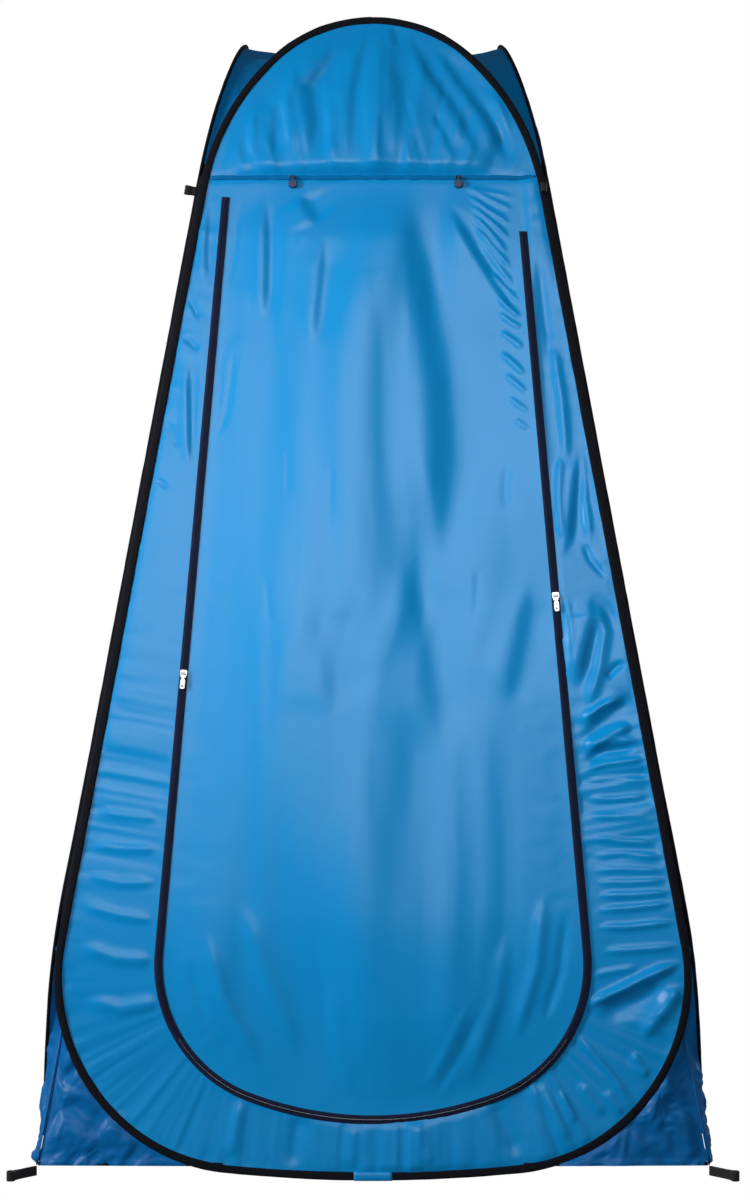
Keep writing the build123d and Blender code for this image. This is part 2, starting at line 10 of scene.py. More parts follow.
import bpy
import numpy as np
from mathutils import Vector
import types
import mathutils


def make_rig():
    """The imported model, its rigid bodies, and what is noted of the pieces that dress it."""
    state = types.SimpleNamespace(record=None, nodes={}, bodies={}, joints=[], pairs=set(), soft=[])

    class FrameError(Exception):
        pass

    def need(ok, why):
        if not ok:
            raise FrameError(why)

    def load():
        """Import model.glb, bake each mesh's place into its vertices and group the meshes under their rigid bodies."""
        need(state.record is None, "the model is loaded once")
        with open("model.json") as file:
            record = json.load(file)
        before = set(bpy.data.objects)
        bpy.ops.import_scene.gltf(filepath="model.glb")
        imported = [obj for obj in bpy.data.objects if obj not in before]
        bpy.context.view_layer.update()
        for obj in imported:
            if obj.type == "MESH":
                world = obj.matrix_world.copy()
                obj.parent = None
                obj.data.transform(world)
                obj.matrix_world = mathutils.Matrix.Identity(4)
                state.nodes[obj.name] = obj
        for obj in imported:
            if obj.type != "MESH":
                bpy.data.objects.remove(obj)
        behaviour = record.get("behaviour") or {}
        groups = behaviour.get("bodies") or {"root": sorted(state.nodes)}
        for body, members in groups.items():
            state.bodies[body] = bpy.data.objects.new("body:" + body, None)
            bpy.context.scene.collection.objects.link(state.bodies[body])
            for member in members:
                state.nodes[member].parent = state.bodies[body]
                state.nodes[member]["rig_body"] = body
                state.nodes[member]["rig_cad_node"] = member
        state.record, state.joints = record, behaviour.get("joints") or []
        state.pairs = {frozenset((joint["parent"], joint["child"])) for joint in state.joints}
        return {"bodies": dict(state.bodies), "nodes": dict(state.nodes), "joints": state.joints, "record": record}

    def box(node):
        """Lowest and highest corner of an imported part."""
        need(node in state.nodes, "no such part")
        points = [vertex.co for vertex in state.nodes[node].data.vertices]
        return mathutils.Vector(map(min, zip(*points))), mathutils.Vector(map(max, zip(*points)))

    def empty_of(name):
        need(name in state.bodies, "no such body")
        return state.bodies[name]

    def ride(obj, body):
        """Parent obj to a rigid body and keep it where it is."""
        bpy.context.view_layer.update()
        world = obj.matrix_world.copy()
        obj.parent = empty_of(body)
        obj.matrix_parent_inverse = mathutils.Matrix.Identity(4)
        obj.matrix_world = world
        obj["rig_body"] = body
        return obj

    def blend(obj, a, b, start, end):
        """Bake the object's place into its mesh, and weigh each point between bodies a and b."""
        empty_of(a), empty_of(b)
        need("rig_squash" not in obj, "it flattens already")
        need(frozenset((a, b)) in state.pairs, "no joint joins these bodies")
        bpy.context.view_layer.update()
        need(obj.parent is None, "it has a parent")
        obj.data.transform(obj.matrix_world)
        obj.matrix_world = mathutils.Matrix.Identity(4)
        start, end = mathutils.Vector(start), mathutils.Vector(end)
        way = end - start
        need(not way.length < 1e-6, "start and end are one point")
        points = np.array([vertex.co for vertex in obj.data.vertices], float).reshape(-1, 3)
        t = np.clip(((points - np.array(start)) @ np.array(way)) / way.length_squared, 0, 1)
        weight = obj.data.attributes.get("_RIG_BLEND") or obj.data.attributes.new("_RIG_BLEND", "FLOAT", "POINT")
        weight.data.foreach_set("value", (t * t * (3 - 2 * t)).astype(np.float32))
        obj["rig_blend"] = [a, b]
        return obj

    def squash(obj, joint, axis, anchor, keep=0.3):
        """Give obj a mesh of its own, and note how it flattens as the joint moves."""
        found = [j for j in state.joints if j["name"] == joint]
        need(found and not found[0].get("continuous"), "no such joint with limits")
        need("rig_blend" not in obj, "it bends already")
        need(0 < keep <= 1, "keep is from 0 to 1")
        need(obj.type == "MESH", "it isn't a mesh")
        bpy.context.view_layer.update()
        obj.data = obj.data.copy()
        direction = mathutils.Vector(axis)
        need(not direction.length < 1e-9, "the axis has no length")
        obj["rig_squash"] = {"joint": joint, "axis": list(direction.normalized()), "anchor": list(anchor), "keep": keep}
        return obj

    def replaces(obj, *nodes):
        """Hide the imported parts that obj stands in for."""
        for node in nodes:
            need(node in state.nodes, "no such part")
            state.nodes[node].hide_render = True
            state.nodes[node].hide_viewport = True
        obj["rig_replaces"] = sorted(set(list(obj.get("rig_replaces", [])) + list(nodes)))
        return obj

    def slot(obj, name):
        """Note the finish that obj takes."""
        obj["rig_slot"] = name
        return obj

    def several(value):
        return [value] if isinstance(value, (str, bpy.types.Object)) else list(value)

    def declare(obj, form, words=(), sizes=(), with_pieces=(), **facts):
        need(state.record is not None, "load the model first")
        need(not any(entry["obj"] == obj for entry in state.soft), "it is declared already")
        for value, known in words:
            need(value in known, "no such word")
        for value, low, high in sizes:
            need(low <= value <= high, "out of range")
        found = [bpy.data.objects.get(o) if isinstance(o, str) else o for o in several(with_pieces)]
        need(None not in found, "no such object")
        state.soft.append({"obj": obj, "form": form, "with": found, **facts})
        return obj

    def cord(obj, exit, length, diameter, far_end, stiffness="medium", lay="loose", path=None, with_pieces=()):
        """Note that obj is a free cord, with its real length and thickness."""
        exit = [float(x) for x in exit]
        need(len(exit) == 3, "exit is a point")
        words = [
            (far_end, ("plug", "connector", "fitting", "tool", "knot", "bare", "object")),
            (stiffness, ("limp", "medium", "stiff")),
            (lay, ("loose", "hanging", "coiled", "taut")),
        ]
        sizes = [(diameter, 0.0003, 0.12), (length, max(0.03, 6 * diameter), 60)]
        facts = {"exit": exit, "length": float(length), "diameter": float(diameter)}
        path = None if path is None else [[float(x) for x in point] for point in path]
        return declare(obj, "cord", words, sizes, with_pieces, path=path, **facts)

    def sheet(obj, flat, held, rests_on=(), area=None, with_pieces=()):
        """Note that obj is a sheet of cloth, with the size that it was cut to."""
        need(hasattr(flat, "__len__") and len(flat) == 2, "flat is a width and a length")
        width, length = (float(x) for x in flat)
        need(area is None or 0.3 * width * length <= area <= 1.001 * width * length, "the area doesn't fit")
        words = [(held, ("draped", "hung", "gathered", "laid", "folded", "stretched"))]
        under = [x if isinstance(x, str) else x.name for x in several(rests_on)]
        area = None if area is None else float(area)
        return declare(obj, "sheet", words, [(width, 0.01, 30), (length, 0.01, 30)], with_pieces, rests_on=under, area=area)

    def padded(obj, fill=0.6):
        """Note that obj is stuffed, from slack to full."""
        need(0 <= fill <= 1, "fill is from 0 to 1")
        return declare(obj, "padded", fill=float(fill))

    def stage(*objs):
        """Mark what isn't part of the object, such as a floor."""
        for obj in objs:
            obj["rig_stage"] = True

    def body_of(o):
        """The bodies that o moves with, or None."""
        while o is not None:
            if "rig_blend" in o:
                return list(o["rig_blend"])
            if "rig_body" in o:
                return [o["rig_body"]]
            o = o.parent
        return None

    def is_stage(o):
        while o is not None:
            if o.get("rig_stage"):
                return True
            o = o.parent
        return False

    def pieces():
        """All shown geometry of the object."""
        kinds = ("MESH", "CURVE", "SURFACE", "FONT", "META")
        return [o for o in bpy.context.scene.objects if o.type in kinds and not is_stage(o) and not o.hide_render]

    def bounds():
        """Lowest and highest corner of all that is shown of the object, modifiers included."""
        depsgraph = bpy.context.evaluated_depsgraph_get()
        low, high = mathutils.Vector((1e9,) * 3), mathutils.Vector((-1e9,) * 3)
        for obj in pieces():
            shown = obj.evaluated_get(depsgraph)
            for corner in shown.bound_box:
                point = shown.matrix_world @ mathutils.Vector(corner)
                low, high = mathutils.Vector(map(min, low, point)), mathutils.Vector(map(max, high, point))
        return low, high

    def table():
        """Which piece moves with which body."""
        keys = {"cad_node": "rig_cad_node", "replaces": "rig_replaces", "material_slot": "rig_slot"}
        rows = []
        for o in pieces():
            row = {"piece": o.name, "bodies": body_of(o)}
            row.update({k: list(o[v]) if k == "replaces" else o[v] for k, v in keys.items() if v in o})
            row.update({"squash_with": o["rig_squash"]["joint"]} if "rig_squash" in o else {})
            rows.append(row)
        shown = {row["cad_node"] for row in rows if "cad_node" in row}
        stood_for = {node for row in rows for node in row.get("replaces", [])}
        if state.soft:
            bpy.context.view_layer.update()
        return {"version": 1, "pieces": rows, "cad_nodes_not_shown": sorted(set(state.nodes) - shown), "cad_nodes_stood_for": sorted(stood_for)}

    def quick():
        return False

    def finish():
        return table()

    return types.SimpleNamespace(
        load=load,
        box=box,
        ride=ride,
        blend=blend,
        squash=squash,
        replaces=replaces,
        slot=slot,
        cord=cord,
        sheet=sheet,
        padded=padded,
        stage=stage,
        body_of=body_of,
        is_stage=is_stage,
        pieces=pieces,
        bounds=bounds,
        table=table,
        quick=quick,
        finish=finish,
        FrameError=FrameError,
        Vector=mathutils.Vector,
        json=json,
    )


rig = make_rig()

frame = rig.load()
# older helpers may have no bounds()
SIZE = {"before": [list(map(float, c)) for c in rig.bounds()]} if hasattr(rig, "bounds") else {}
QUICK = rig.quick()

# ------------------------------------------------------------------ dimensions
HALF_BASE, LEAN = 0.562, 0.17           # half width on the ground, inward lean per metre of height
SLANT = math.sqrt(1 + LEAN * LEAN)
COS, SIN = 1 / SLANT, LEAN / SLANT      # of the lean; SIN is also the corner's inset per metre up
HOOP_TOP, HOOP_BOTTOM = 1.921, 0.0054
CROWN_R, CROWN_DEG, CORNER_R, SOLE_R = 0.228, 45.0, 0.300, 2.400
HOOP_EDGE = 0.0073                      # from the panel's edge in to the hoop's centre line
SEAM_Y = 1.635                          # level seam below the header
SEAM_HALF = 0.2725
HEM_Y = 0.021 / COS
ZIP_LEG_X, ZIP_SLOPE = 0.3645, 0.0741
ZIP_BOTTOM, ZIP_SOLE_R, ZIP_CORNER_R = 0.092, 0.560, 0.220
ZIP_TOP_LEFT, ZIP_TOP_RIGHT = 1.600, 1.541
ZIP_GAP = 0.0045                        # cloth edge to the zipper's centre line
DOOR_TOP, STEPS = 1.530, 8
STEP = (DOOR_TOP - (ZIP_BOTTOM + 0.0065)) / STEPS
CLOTH_OUT, TAPE_MID = 0.0035, 0.0037    # heights of the cloth and of the bindings' middle
SIDES = {"front": 0, "left": -90, "right": 90, "back": 180}
# each corner: signs of x and y, and the wall it moves with
CORNERS = {"front_left": (-1, -1, "front"), "front_right": (1, -1, "front"),
           "back_left": (-1, 1, "left"), "back_right": (1, 1, "right")}


# ------------------------------------------------------------------ panel coordinates
def lean_in(y):
    """How far a sewn wall leaves its flat plane: crown and sole lean in, the knee bows out."""
    y = np.asarray(y, float)
    top = np.clip((y - 1.64) / 0.281, 0, 1)
    foot = np.clip((0.42 - y) / 0.336, 0, 1)
    knee = np.exp(-((y - 0.42) / 0.16) ** 2)
    return -0.018 * top * top - 0.017 * foot * foot * (3 - 2 * foot) + 0.0015 * knee


def turn(side, x, y, z):
    """Points laid out on the front wall, turned about the Z axis to a side."""
    angle = math.radians(SIDES[side])
    c, s = round(math.cos(angle), 9), round(math.sin(angle), 9)
    return np.stack([c * x - s * y, s * x + c * y, z], -1)


def flat(side, x, y, z):
    """Panel coordinates to the tent's frame on a flat wall, as an (n, 3) array."""
    x, y, z = np.broadcast_arrays(*(np.asarray(a, float) for a in (x, y, z)))
    return turn(side, x, -HALF_BASE + y * SIN - z * COS, y * COS + z * SIN)


def place(side, x, y, z):
    """As flat(), on the sewn tent's slightly bent walls."""
    return flat(side, x, y, np.asarray(z, float) + lean_in(y))


def panel_axes(side):
    """Unit directions across, up and out of a wall."""
    origin = flat(side, 0, 0, 0)
    return [flat(side, *axis) - origin for axis in ((1, 0, 0), (0, 1, 0), (0, 0, 1))]


# ------------------------------------------------------------------ outlines: points and normals
def polar(centre, radius, degrees):
    """Point on a circle; angles run clockwise from straight up."""
    angle = math.radians(degrees)
    return (centre[0] + radius * math.sin(angle), centre[1] + radius * math.cos(angle))


def arc(centre, radius, start, end, step):
    count = max(3, int(abs(math.radians(end - start)) * radius / step) + 1)
    angle = np.radians(np.linspace(start, end, count))
    normals = np.stack([np.sin(angle), np.cos(angle)], -1)
    return np.array(centre) + radius * normals, normals


def straight(start, end, normal, step):
    start, end = np.array(start), np.array(end)
    count = max(2, int(np.linalg.norm(end - start) / step) + 1)
    t = np.linspace(0, 1, count)[:, None]
    return start + t * (end - start), np.repeat(np.array([normal]), count, 0)


def line_normal(slope):
    length = math.sqrt(1 + slope ** 2)
    return (1 / length, slope / length)


def degrees_of(x, y):
    return math.degrees(math.atan2(x, y))


def corner_circle(normal, reach, radius, sole_centre, sole_radius):
    """Circle that touches a straight side and the sole's arc: centre, angle where it meets the sole."""
    start = (normal[0] * (reach - radius), normal[1] * (reach - radius))
    along = (normal[1], -normal[0])
    dx, dy = start[0] - sole_centre[0], start[1] - sole_centre[1]
    b = dx * along[0] + dy * along[1]
    travel = -b + math.sqrt(b * b - (dx * dx + dy * dy - (sole_radius - radius) ** 2))
    centre = (start[0] + travel * along[0], start[1] + travel * along[1])
    return centre, degrees_of(centre[0] - sole_centre[0], centre[1] - sole_centre[1])


SIDE_NORMAL = line_normal(SIN)
SIDE_REACH = HALF_BASE / math.sqrt(1 + SIN * SIN) - HOOP_EDGE
SIDE_DEG = degrees_of(*SIDE_NORMAL)
CROWN_C = (0.0, HOOP_TOP - CROWN_R)
_cos = math.cos(math.radians(SIDE_DEG - CROWN_DEG))
SHOULDER_R = (SIDE_REACH - SIDE_NORMAL[1] * CROWN_C[1] - CROWN_R * _cos) / (1 - _cos)
SHOULDER_C = polar(CROWN_C, CROWN_R - SHOULDER_R, CROWN_DEG)
SOLE_C = (0.0, HOOP_BOTTOM + SOLE_R)
CORNER_C, SOLE_DEG = corner_circle(SIDE_NORMAL, SIDE_REACH, CORNER_R, SOLE_C, SOLE_R)

ZIP_NORMAL = line_normal(ZIP_SLOPE)
ZIP_DEG = degrees_of(*ZIP_NORMAL)
ZIP_SOLE_C = (0.0, ZIP_BOTTOM + ZIP_SOLE_R)
ZIP_CORNER_C, ZIP_SOLE_DEG = corner_circle(
    ZIP_NORMAL, ZIP_LEG_X / math.sqrt(1 + ZIP_SLOPE ** 2), ZIP_CORNER_R, ZIP_SOLE_C, ZIP_SOLE_R)


def join_runs(runs):
    """Joins runs of points and normals and drops doubled points."""
    points = np.concatenate([run[0] for run in runs])
    normals = np.concatenate([run[1] for run in runs])
    keep = np.r_[True, np.linalg.norm(np.diff(points, axis=0), axis=1) > 1e-6]
    return points[keep], normals[keep]


def with_mirror(points, normals, part):
    """Adds the mirrored half, in reverse order; part picks the points that are mirrored."""
    return (np.concatenate([points, points[part][::-1] * [-1, 1]]),
            np.concatenate([normals, normals[part][::-1] * [-1, 1]]))


def hoop_path(step):
    """Closed centre line of a hoop, from the crown, clockwise seen from outside."""
    points, normals = join_runs([
        arc(CROWN_C, CROWN_R, 0, CROWN_DEG, step),
        arc(SHOULDER_C, SHOULDER_R, CROWN_DEG, SIDE_DEG, step),
        straight(polar(SHOULDER_C, SHOULDER_R, SIDE_DEG), polar(CORNER_C, CORNER_R, SIDE_DEG),
                 SIDE_NORMAL, step),
        arc(CORNER_C, CORNER_R, SIDE_DEG, SOLE_DEG, step),
        arc(SOLE_C, SOLE_R, SOLE_DEG, 180, step),
    ])
    return with_mirror(points, normals, slice(1, -1))


def zip_leg_x(y):
    return ZIP_LEG_X - ZIP_SLOPE * y


def zip_path(step, top_right, top_left):
    """Open centre line of the zipper, from the right top round the bottom to the left top."""
    top = max(top_right, top_left)
    points, normals = join_runs([
        straight((zip_leg_x(top), top), polar(ZIP_CORNER_C, ZIP_CORNER_R, ZIP_DEG), ZIP_NORMAL, step),
        arc(ZIP_CORNER_C, ZIP_CORNER_R, ZIP_DEG, ZIP_SOLE_DEG, step),
        arc(ZIP_SOLE_C, ZIP_SOLE_R, ZIP_SOLE_DEG, 180, step),
    ])
    points, normals = with_mirror(points, normals, slice(None, -1))
    x, y = points.T
    keep = ((x > 0) & (y <= top_right + 1e-9)) | ((x <= 0) & (y <= top_left + 1e-9))
    return points[keep], normals[keep]


def arc_length(points):
    return np.r_[0, np.cumsum(np.linalg.norm(np.diff(points, axis=0), axis=1))]


def edge_field(x, y, path):
    """Signed distance to a path (positive outside), arc length there, and the path's normal."""
    points, normals = path
    length = arc_length(points)
    query = np.stack([x.ravel(), y.ravel()], -1)
    dist, along, near = np.empty(len(query)), np.empty(len(query)), np.empty((len(query), 2))
    chunk = 8000
    for i in range(0, len(query), chunk):
        part = slice(i, i + chunk)
        k = ((query[part][:, None, :] - points[None]) ** 2).sum(-1).argmin(1)
        offset, normal = query[part] - points[k], normals[k]
        dist[part] = (offset * normal).sum(1)
        tangent = np.stack([normal[:, 1], -normal[:, 0]], -1)
        along[part] = length[k] + (offset * tangent).sum(1)
        near[part] = normal
    return dist.reshape(x.shape), along.reshape(x.shape), near.reshape(x.shape + (2,))


# ------------------------------------------------------------------ noise and folds
def noise(x, y, seed):
    """Smooth value noise on a repeating 64 by 64 lattice, from -1 to 1."""
    grid = np.random.RandomState(seed).uniform(-1, 1, (64, 64))
    xi, yi = np.floor(x).astype(int), np.floor(y).astype(int)
    fx, fy = x - xi, y - yi
    fx, fy = fx ** 3 * (fx * (fx * 6 - 15) + 10), fy ** 3 * (fy * (fy * 6 - 15) + 10)
    low = grid[yi % 64, xi % 64] * (1 - fx) + grid[yi % 64, (xi + 1) % 64] * fx
    high = grid[(yi + 1) % 64, xi % 64] * (1 - fx) + grid[(yi + 1) % 64, (xi + 1) % 64] * fx
    return low * (1 - fy) + high * fy


def octaves(x, y, seed, count):
    """Layers of noise, each twice as fine and half as strong as the last."""
    return sum(0.5 ** i * noise(x * 2 ** i + 13.7 * i, y * 2 ** i + 7.1 * i, seed + i)
               for i in range(count))


def smooth(low, high, value):
    t = np.clip((value - low) / (high - low), 0, 1)
    return t * t * (3 - 2 * t)


def nearest_on_line(x, y, points):
    """Distance to a polyline, signed distance (positive to its left), share of its length there."""
    steps = np.diff(points, axis=0)
    lengths = np.linalg.norm(steps, axis=1)
    best = np.full(x.shape, np.inf)
    signed, along = np.zeros(x.shape), np.zeros(x.shape)
    run = 0.0
    for start, step, length in zip(points[:-1], steps, lengths):
        tx, ty = step / length
        dx, dy = x - start[0], y - start[1]
        t = np.clip(dx * tx + dy * ty, 0, length)
        dist = np.hypot(dx - t * tx, dy - t * ty)
        closer = dist < best
        best = np.where(closer, dist, best)
        signed = np.where(closer, np.sign(-dx * ty + dy * tx) * dist, signed)
        along = np.where(closer, (run + t) / lengths.sum(), along)
        run += length
    return best, signed, along


def fold(x, y, points, width, height, skew):
    """A rounded ridge along a polyline, tapering to its ends."""
    best, signed, along = nearest_on_line(x, y, points)
    taper = smooth(0, 0.25, along) * smooth(0, 0.25, 1 - along)
    width = width * (0.55 + 0.45 * taper)
    return height * taper * np.exp(-(best / width) ** 2) * (1 + skew * signed / width)


def drape(x, y, points, width, drop):
    """A soft step along a polyline: the cloth drops across it and comes slowly back."""
    best, signed, along = nearest_on_line(x, y, points)
    taper = smooth(0, 0.3, along) * smooth(0, 0.3, 1 - along)
    width = width * (0.6 + 0.4 * taper)
    return -drop * taper * np.tanh(signed / width) * np.exp(-(best / (3.2 * width)) ** 2)


def edge_puckers(dist, along, reach, pitch, height, seed):
    """Small gathers that run square to an edge and die away from it."""
    dist = np.abs(dist)
    gathers = octaves(along / pitch, dist / (reach * 1.6), seed, 2)
    return height * gathers * np.exp(-(dist / reach) ** 1.2) * smooth(0.0, 0.010, dist)


def seam_dip(y, hoop):
    """How deep the cloth is drawn in to the header seam."""
    return 0.0016 * np.exp(-((y - SEAM_Y) / 0.006) ** 2) * smooth(0.0, 0.02, -hoop)


# ------------------------------------------------------------------ materials
def material(name, color, rough, metallic=0.0, sheen=0.0, spec=0.5, weave=0.0, scale=700.0,
             grain=0.0, streak=0.0):
    """weave: bump strength; scale: threads; grain, streak: share of noise and of upright threads."""
    mat = bpy.data.materials.new(name)
    mat.use_nodes = True
    nodes, link = mat.node_tree.nodes, mat.node_tree.links.new
    shader = nodes["Principled BSDF"]
    for key, value in {"Base Color": (*color, 1), "Roughness": rough, "Metallic": metallic,
                       "Sheen Weight": sheen, "Sheen Roughness": 0.4,
                       "Specular IOR Level": spec}.items():
        shader.inputs[key].default_value = value
    if not weave:
        return mat
    coords = nodes.new("ShaderNodeTexCoord")
    waves = [nodes.new("ShaderNodeTexWave") for _ in range(2)]
    for wave, direction in zip(waves, ("Z", "DIAGONAL")):
        wave.bands_direction = direction
        wave.inputs["Scale"].default_value = scale
        wave.inputs["Distortion"].default_value = 0.6
        link(coords.outputs["Object"], wave.inputs["Vector"])
    height = nodes.new("ShaderNodeMath")
    for i, wave in enumerate(waves):
        link(wave.outputs["Fac"], height.inputs[i])

    def add_noise(vector, amount, base, **settings):
        """base plus amount times a noise texture."""
        texture = nodes.new("ShaderNodeTexNoise")
        for key, value in settings.items():
            texture.inputs[key].default_value = value
        link(vector, texture.inputs["Vector"])
        total = nodes.new("ShaderNodeMath")
        total.operation = "MULTIPLY_ADD"
        total.inputs[1].default_value = amount
        link(texture.outputs["Fac"], total.inputs[0])
        link(base.outputs[0], total.inputs[2])
        return total

    if grain:
        height = add_noise(coords.outputs["Object"], grain, height, Scale=90, Detail=5)
    if streak:
        # long faint threads that run up the cloth
        stretch = nodes.new("ShaderNodeVectorMath")
        stretch.operation = "MULTIPLY"
        stretch.inputs[1].default_value = (75, 75, 3.2)
        link(coords.outputs["Object"], stretch.inputs[0])
        height = add_noise(stretch.outputs[0], streak, height, Scale=1.0, Detail=4, Distortion=0.4)
    bump = nodes.new("ShaderNodeBump")
    bump.inputs["Strength"].default_value = weave
    bump.inputs["Distance"].default_value = 0.0004
    link(height.outputs[0], bump.inputs["Height"])
    link(bump.outputs["Normal"], shader.inputs["Normal"])
    return mat


GLOSSY_CLOTH = dict(rough=0.31, spec=0.31, weave=0.10, grain=3.0, streak=9.0)
LOOKS = {
    "cloth_blue": dict(color=(0.0001, 0.243, 0.600), **GLOSSY_CLOTH),
    # painted light: the door's cloth is the walls' blue fabric made a little lighter, for the light on the door
    "cloth_door": dict(color=(0.0001, 0.255, 0.622), **GLOSSY_CLOTH),
    # painted shade: the roof's cloth is the walls' blue fabric in a darker colour, for the shade on the sunken roof
    "cloth_roof": dict(color=(0.0001, 0.135, 0.355), rough=0.62, spec=0.06, weave=0.10, grain=3.0),
    # painted shade: the skirts' cloth is the walls' blue fabric in a darker colour, for the shade on the slack cloth
    # that falls in at the corners
    "cloth_skirt": dict(color=(0.0001, 0.125, 0.385), rough=0.40, spec=0.20, weave=0.10, grain=3.0),
    "binding_black": dict(color=(0.004, 0.005, 0.009), rough=0.7, spec=0.12, weave=0.5, scale=500),
    "webbing_black": dict(color=(0.010, 0.010, 0.011), rough=0.7, sheen=0.2, spec=0.3, weave=0.8,
                          scale=330),
    "zip_tape_navy": dict(color=(0.003, 0.008, 0.035), rough=0.6, spec=0.2, weave=0.4, scale=600),
    "spring_steel": dict(color=(0.45, 0.46, 0.48), rough=0.3, metallic=1.0),
    "nickel": dict(color=(0.42, 0.43, 0.45), rough=0.34, metallic=1.0),
    "ferrule_metal": dict(color=(0.7, 0.7, 0.72), rough=0.35, metallic=1.0),
    "toggle_navy": dict(color=(0.003, 0.022, 0.085), rough=0.4),
}
MATERIALS = {name: material(name, **look) for name, look in LOOKS.items()}

SLOTS = {part["node"]: part["material_slot"] for part in frame["record"]["subparts"]}
for node, cad_piece in frame["nodes"].items():
    cad_piece.data.materials.clear()
    cad_piece.data.materials.append(MATERIALS[SLOTS[node]])
    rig.slot(cad_piece, SLOTS[node])


# ------------------------------------------------------------------ mesh helpers
def new_mesh(name, verts, faces, slot, shade_smooth=True):
    """A mesh object whose material and slot share one name."""
    mesh = bpy.data.meshes.new(name)
    mesh.from_pydata(np.asarray(verts, float).tolist(), [], [tuple(int(i) for i in f) for f in faces])
    mesh.validate()
    mesh.update()
    if shade_smooth:
        mesh.shade_smooth()
    piece = bpy.data.objects.new(name, mesh)
    bpy.context.scene.collection.objects.link(piece)
    mesh.materials.append(MATERIALS[slot])
    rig.slot(piece, slot)
    return piece


def attach(piece, body, *replaced):
    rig.ride(piece, body)
    if replaced:
        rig.replaces(piece, *replaced)


def lines(keys, step):
    """Grid stations about one step apart that hit every key."""
    runs = [np.linspace(a, b, max(1, int(round((b - a) / step))), endpoint=False)
            for a, b in zip(keys[:-1], keys[1:])]
    return np.concatenate(runs + [np.array([keys[-1]])])


def cell_mean(field):
    return (field[:-1, :-1] + field[1:, 1:]) / 2


class Sheet:
    """A regular sheet over a wall with a height field; pieces are cut from it by cell masks."""

    def __init__(self, side, xs, ys):
        self.side = side
        self.x, self.y = np.meshgrid(xs, ys)
        self.shift = np.zeros_like(self.x)
        self.out = np.zeros_like(self.x)
        self.cell_y = cell_mean(self.y)

    def piece(self, name, mask, slot, snaps):
        """mask: cells kept. snaps: (distance, normal, target, reach), to pull rims to outlines."""
        rows, cols = self.x.shape
        use = np.zeros((rows, cols), int)
        for a in (0, 1):
            for b in (0, 1):
                use[a:a + rows - 1, b:b + cols - 1] += mask
        keep = use > 0
        rim = keep & (use < 4)
        x, y = self.x.copy(), self.y.copy()
        for dist, normal, target, reach in snaps:
            near = rim & (np.abs(dist - target) < reach)
            pull = (target - dist)[near][:, None] * normal[near]
            x[near] += pull[:, 0]
            y[near] += pull[:, 1]
        index = -np.ones((rows, cols), int)
        index[keep] = np.arange(keep.sum())
        r, c = np.nonzero(mask)
        faces = np.stack([index[r, c], index[r, c + 1], index[r + 1, c + 1], index[r + 1, c]], -1)
        verts = place(self.side, (x + self.shift)[keep], y[keep], self.out[keep])
        piece = new_mesh(name, verts, faces, slot)
        # one continuous shading normal over all pieces cut from this sheet
        full = place(self.side, self.x + self.shift, self.y, self.out)
        normal = np.cross(np.gradient(full, axis=1), np.gradient(full, axis=0))
        normal /= np.linalg.norm(normal, axis=-1, keepdims=True) + 1e-12
        piece.data.normals_split_custom_set_from_vertices(normal[keep].tolist())
        return piece


def tube_faces(rings, count, closed=False):
    """Quads between rings of count points each."""
    return [(i * count + a, (i + 1) % rings * count + a,
             (i + 1) % rings * count + (a + 1) % count, i * count + (a + 1) % count)
            for i in range(rings if closed else rings - 1) for a in range(count)]


def sweep(name, side, points, normals, section, slot, closed=True, wobble=None):
    """Sweeps a closed section of (across, height) pairs along a panel path."""
    section, rings, count = np.array(section), len(points), len(section)
    across = section[None, :, 0] * np.ones((rings, 1))
    height = section[None, :, 1] * np.ones((rings, 1))
    if wobble is not None:
        across, height = wobble(across, height)
    x = points[:, None, 0] + across * normals[:, None, 0]
    y = points[:, None, 1] + across * normals[:, None, 1]
    faces = tube_faces(rings, count, closed)
    if not closed:
        faces += [tuple(range(count)), tuple(range((rings - 1) * count, rings * count))[::-1]]
    return new_mesh(name, place(side, x, y, height).reshape(-1, 3), faces, slot)


def rounded_section(half_width, half_height, mid, count, power=3.0):
    """Superellipse section; a higher power is squarer."""
    angle = np.linspace(0, 2 * math.pi, count, endpoint=False)
    return [(float(half_width * np.sign(x) * abs(x) ** (2 / power)),
             float(mid + half_height * np.sign(y) * abs(y) ** (2 / power)))
            for x, y in zip(np.cos(angle), np.sin(angle))]


def blocks(name, centres, axes, sizes, slot):
    """Many small six-sided blocks in one mesh; the directions vary per block."""
    signs = np.array([(a, b, c) for a in (-1, 1) for b in (-1, 1) for c in (-1, 1)], float)
    verts = centres[:, None]
    for i in range(3):
        verts = verts + signs[None, :, i:i + 1] * axes[i][:, None] * sizes[i] / 2
    quads = np.array([(0, 1, 3, 2), (4, 6, 7, 5), (0, 4, 5, 1),
                      (2, 3, 7, 6), (0, 2, 6, 4), (1, 5, 7, 3)])
    faces = (np.arange(len(centres))[:, None, None] * 8 + quads[None]).reshape(-1, 4)
    return new_mesh(name, verts.reshape(-1, 3), faces, slot, shade_smooth=False)


